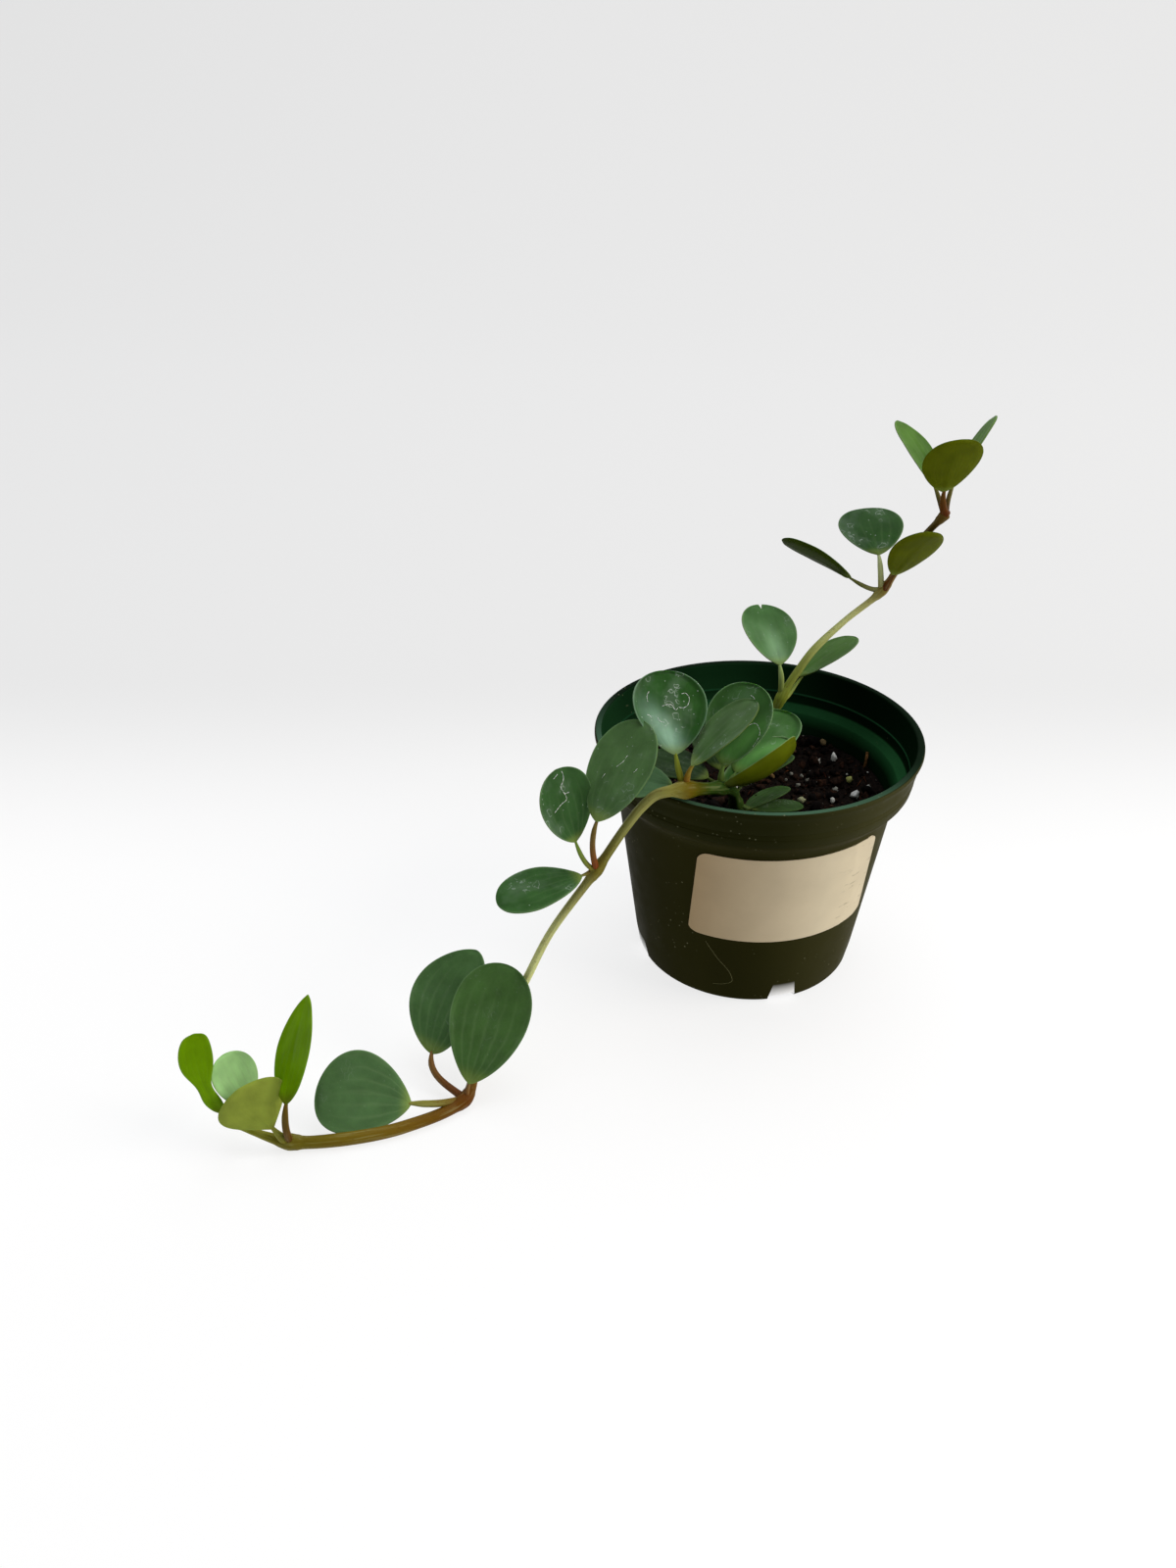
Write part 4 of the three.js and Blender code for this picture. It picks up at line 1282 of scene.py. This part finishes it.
# Place, radius, node and colour of each point along a stem, from the root up
trailingStem = [
    ((-5, -11.5, 49), 1.5, "", "#55652c"),
    ((-6, -14, 62), 1.8, "", "#55652c"),
    ((-8, -18.5, 67), 1.8, "soil", "#30481a"),
    ((-10.5, -27, 76.5), 1.8, "", "#304c1a"),
    ((-15.5, -36, 83.2), 1.8, "crown", "#2d4a16"),
    ((-20, -40.5, 85.6), 1.9, "", "#304c12"),
    ((-27, -45, 88), 2.3, "rim", "#625409"),
    ((-31.5, -46.5, 88.3), 1.7, "", "#84813c"),
    ((-35.8, -47, 87.2), 1.6, "", "#8e8e50"),
    ((-40, -48, 83.5), 1.5, "", "#8c8c4e"),
    ((-44.8, -50, 77.5), 1.4, "", "#7e7f44"),
    ((-53.3, -54.3, 65.3), 1.4, "hanging", "#6c6422"),
    ((-67.2, -60, 46), 1.2, "", "#bcc080"),
    ((-75, -64, 30.5), 1.3, "", "#cbd18e"),
    ((-83.5, -68, 14.5), 1.4, "", "#bcc47a"),
    ((-90, -74, 5.2), 1.5, "", "#80682e"),
    ((-93, -85.9, 2.7), 1.7, "ground", "#5c3408"),
    ((-110, -96.8, 2.2), 1.9, "", "#6e5616"),
    ((-128, -102, 2.3), 2, "", "#6c5c16"),
    ((-142.6, -103.4, 2.8), 1.8, "outer", "#665e18"),
    ((-152, -103, 6), 1.1, "", "#7a7a22"),
    ((-159, -102, 9.5), 0.9, "tip", "#7f8a24"),
]
trailingLeaves = [
    leaf("soil", (-8, -26, 78), 43, 4, 24.5, 11, "dull", roll=-15),
    leaf("soil", (-5.5, -19, 64.6), 40, 2, 21, 9.5, "dull", roll=-15),
    leaf("soil", (-3, -18.5, 64.5), 13, -3, 18, 8, "dull"),
    leaf("crown", (-15, -34, 90), 52, 53, 26.5, 23, "crown", roll=-6, stalk=1.3, marks=crownMarks),
    leaf("crown", (-10.3, -30, 85), 52, 18, 30, 22, "crown", roll=-3),
    leaf("crown", (-15, -37, 85), 29, 15, 27.5, 19, "folded", roll=-28, cup=0.75, arch=-0.14),
    leaf("crown", (-19, -33, 85), 150, 3, 22, 18, "shaded"),
    leaf("crown", (-15, -30, 86), 95, 22, 20, 16, "shaded"),
    leaf("rim", (-30, -41, 97.5), 102, 47, 26, 24, "cupped", roll=10, stalk=1.3, marks=cuppedMarks),
    leaf("rim", (-25.5, -44, 95.5), 25, 38, 27, 21.5, "dusty", roll=-16, stalk=1.3),
    leaf("rim", (-30.5, -43, 87.8), 163, -3, 17, 14, "grown", roll=-16, upper="#587e58"),
    leaf(
        "hanging", (-53.5, -56, 83.5), 54, 45.5, 33, 23, "grown", roll=-8, sweep=0.02, widest=0.57,
        stalk=1.2, upper="#4a683c", mineral=0.35, stalkTones=("#7c3a16", "#6a5a2c"), marks=hangingMarks,
    ),
    leaf("hanging", (-59.5, -57, 77), 138, 70, 23, 21, "spotted", marks=spottedMarks),
    leaf("hanging", (-57.5, -56, 64.5), 200, -9, 27, 18, "grown", roll=-6, upper="#33562a", mineral=0.5),
    leaf("ground", (-104, -75, 11), 58, 42, 34.5, 23, "veined", roll=3, sweep=-0.09, widest=0.5, stalk=1.4),
    leaf("ground", (-91.5, -85, 8), 65, 47, 37.5, 25.5, "veined", roll=5, sweep=0.005, upper="#426231"),
    leaf(
        "ground", (-108, -92.5, 7.4), 182, 6, 28.5, 24.5, "veined", roll=-50, sweep=0.09,
        stalk=1.5, upper="#4c6c42", stalkTones=("#6a5420", "#7c7c38"),
    ),
    leaf(
        "outer", (-141.5, -105, 19), 79, 42, 31.5, 17.5, "youngBright", roll=-38, widest=0.46,
        taper=1.5, stalk=1.4,
    ),
    leaf(
        "outer", (-146, -105, 9.3), 168, 56, 16.5, 21.5, "youngOlive", roll=118, widest=0.64,
        taper=1.9, stalk=1.7, stalkTones=("#6e6418", "#868a38"),
    ),
    leaf("tip", (-154.3, -99, 12.3), 136, 53, 17, 15.5, "youngPale", roll=14),
    leaf(
        "tip", (-161.4, -101, 11.6), 180, 83, 30.5, 9.8, "youngBright", roll=-75, cup=0.1,
        sweep=-0.07, widest=0.68, taper=0.85, waist=0.5,
    ),
]
climbingStem = [
    ((0, 10, 49), 1.4, "", "#3c4a1c"),
    ((2, 12, 61), 1.7, "", "#3c4a1c"),
    ((5, 13, 75), 1.5, "", "#46541c"),
    ((9, 14, 89), 1.35, "low", "#7a882e"),
    ((14.2, 16, 98), 1.35, "", "#8a9442"),
    ((19, 17.5, 105), 1.3, "", "#a4ac60"),
    ((29, 21, 114), 1.05, "", "#c2c684"),
    ((40.8, 24, 123.5), 1.1, "middle", "#7c7034"),
    ((45.5, 24.5, 131.8), 1.2, "", "#664a1c"),
    ((51, 23, 141.5), 1.1, "", "#4e4012"),
    ((56.5, 19.5, 151), 1.1, "top", "#594418"),
]
paleStalk = {"stalk": 1.25, "stalkTones": ("#a4a468", "#b0ba86")}
climbingLeaves = [
    leaf("low", (8, 16, 100), 108, 37, 23.5, 21, "bright", roll=11, notch=0.09, stalk=1.3),
    leaf(
        "low", (16, 22, 93), 30, 22, 25, 15, "grown", roll=-12, sag=3.5, upper="#4a6c34",
        stalkTones=("#8a9440", "#74863e"),
    ),
    leaf("middle", (30.7, 26, 126.9), 165, 24.5, 26.3, 17, "slim", roll=33, sag=0.6),
    leaf("middle", (38.8, 26, 135), 97, 26, 21, 21.5, "spotted", roll=-5, upper="#304f28", **paleStalk),
    leaf("middle", (43.3, 22, 129.5), -40, 55, 21, 18.5, "backlit", roll=-26, stalk=1.4),
    leaf("top", (53, 24, 159), 120, 37, 25.5, 15, "light", roll=16, sweep=0.06, widest=0.54, taper=1.35),
    leaf("top", (54.5, 18, 158.6), -82, 68, 19.7, 19.3, "backlit", roll=4, stalk=1.45),
    leaf("top", (59.5, 25.5, 159.5), 40, 45, 25, 11, "light", roll=-40),
]


def makeLeafyStem(name, stem, leaves, seed, leafMaterial, stemMaterial):
    nodes = {row[2]: Vector(row[0]) for row in stem if row[2]}
    skin = bmesh.new()
    joinInto(skin, stemTube(stem))
    for given in leaves:
        joinInto(skin, leafStalk(given, nodes[given["node"]]))
    finishPiece(skin, f"{name}_flesh", stemMaterial, name)
    for node in nodes:
        blades = bmesh.new()
        for given in leaves:
            if given["node"] == node:
                seed += 1
                joinInto(blades, leafBlade(given, seed))
        finishPiece(blades, f"{name}_leaves_{node}", leafMaterial, name)
    print(name, "made with", len(leaves), "leaves")


makeCamera()
makeStudio()
makePot()
makeLabel()
makeMix()
leafMaterial = waxyLeaf()
stemMaterial = stemFlesh()
makeLeafyStem("trailing_stem", trailingStem, trailingLeaves, 3, leafMaterial, stemMaterial)
makeLeafyStem("climbing_stem", climbingStem, climbingLeaves, 40, leafMaterial, stemMaterial)
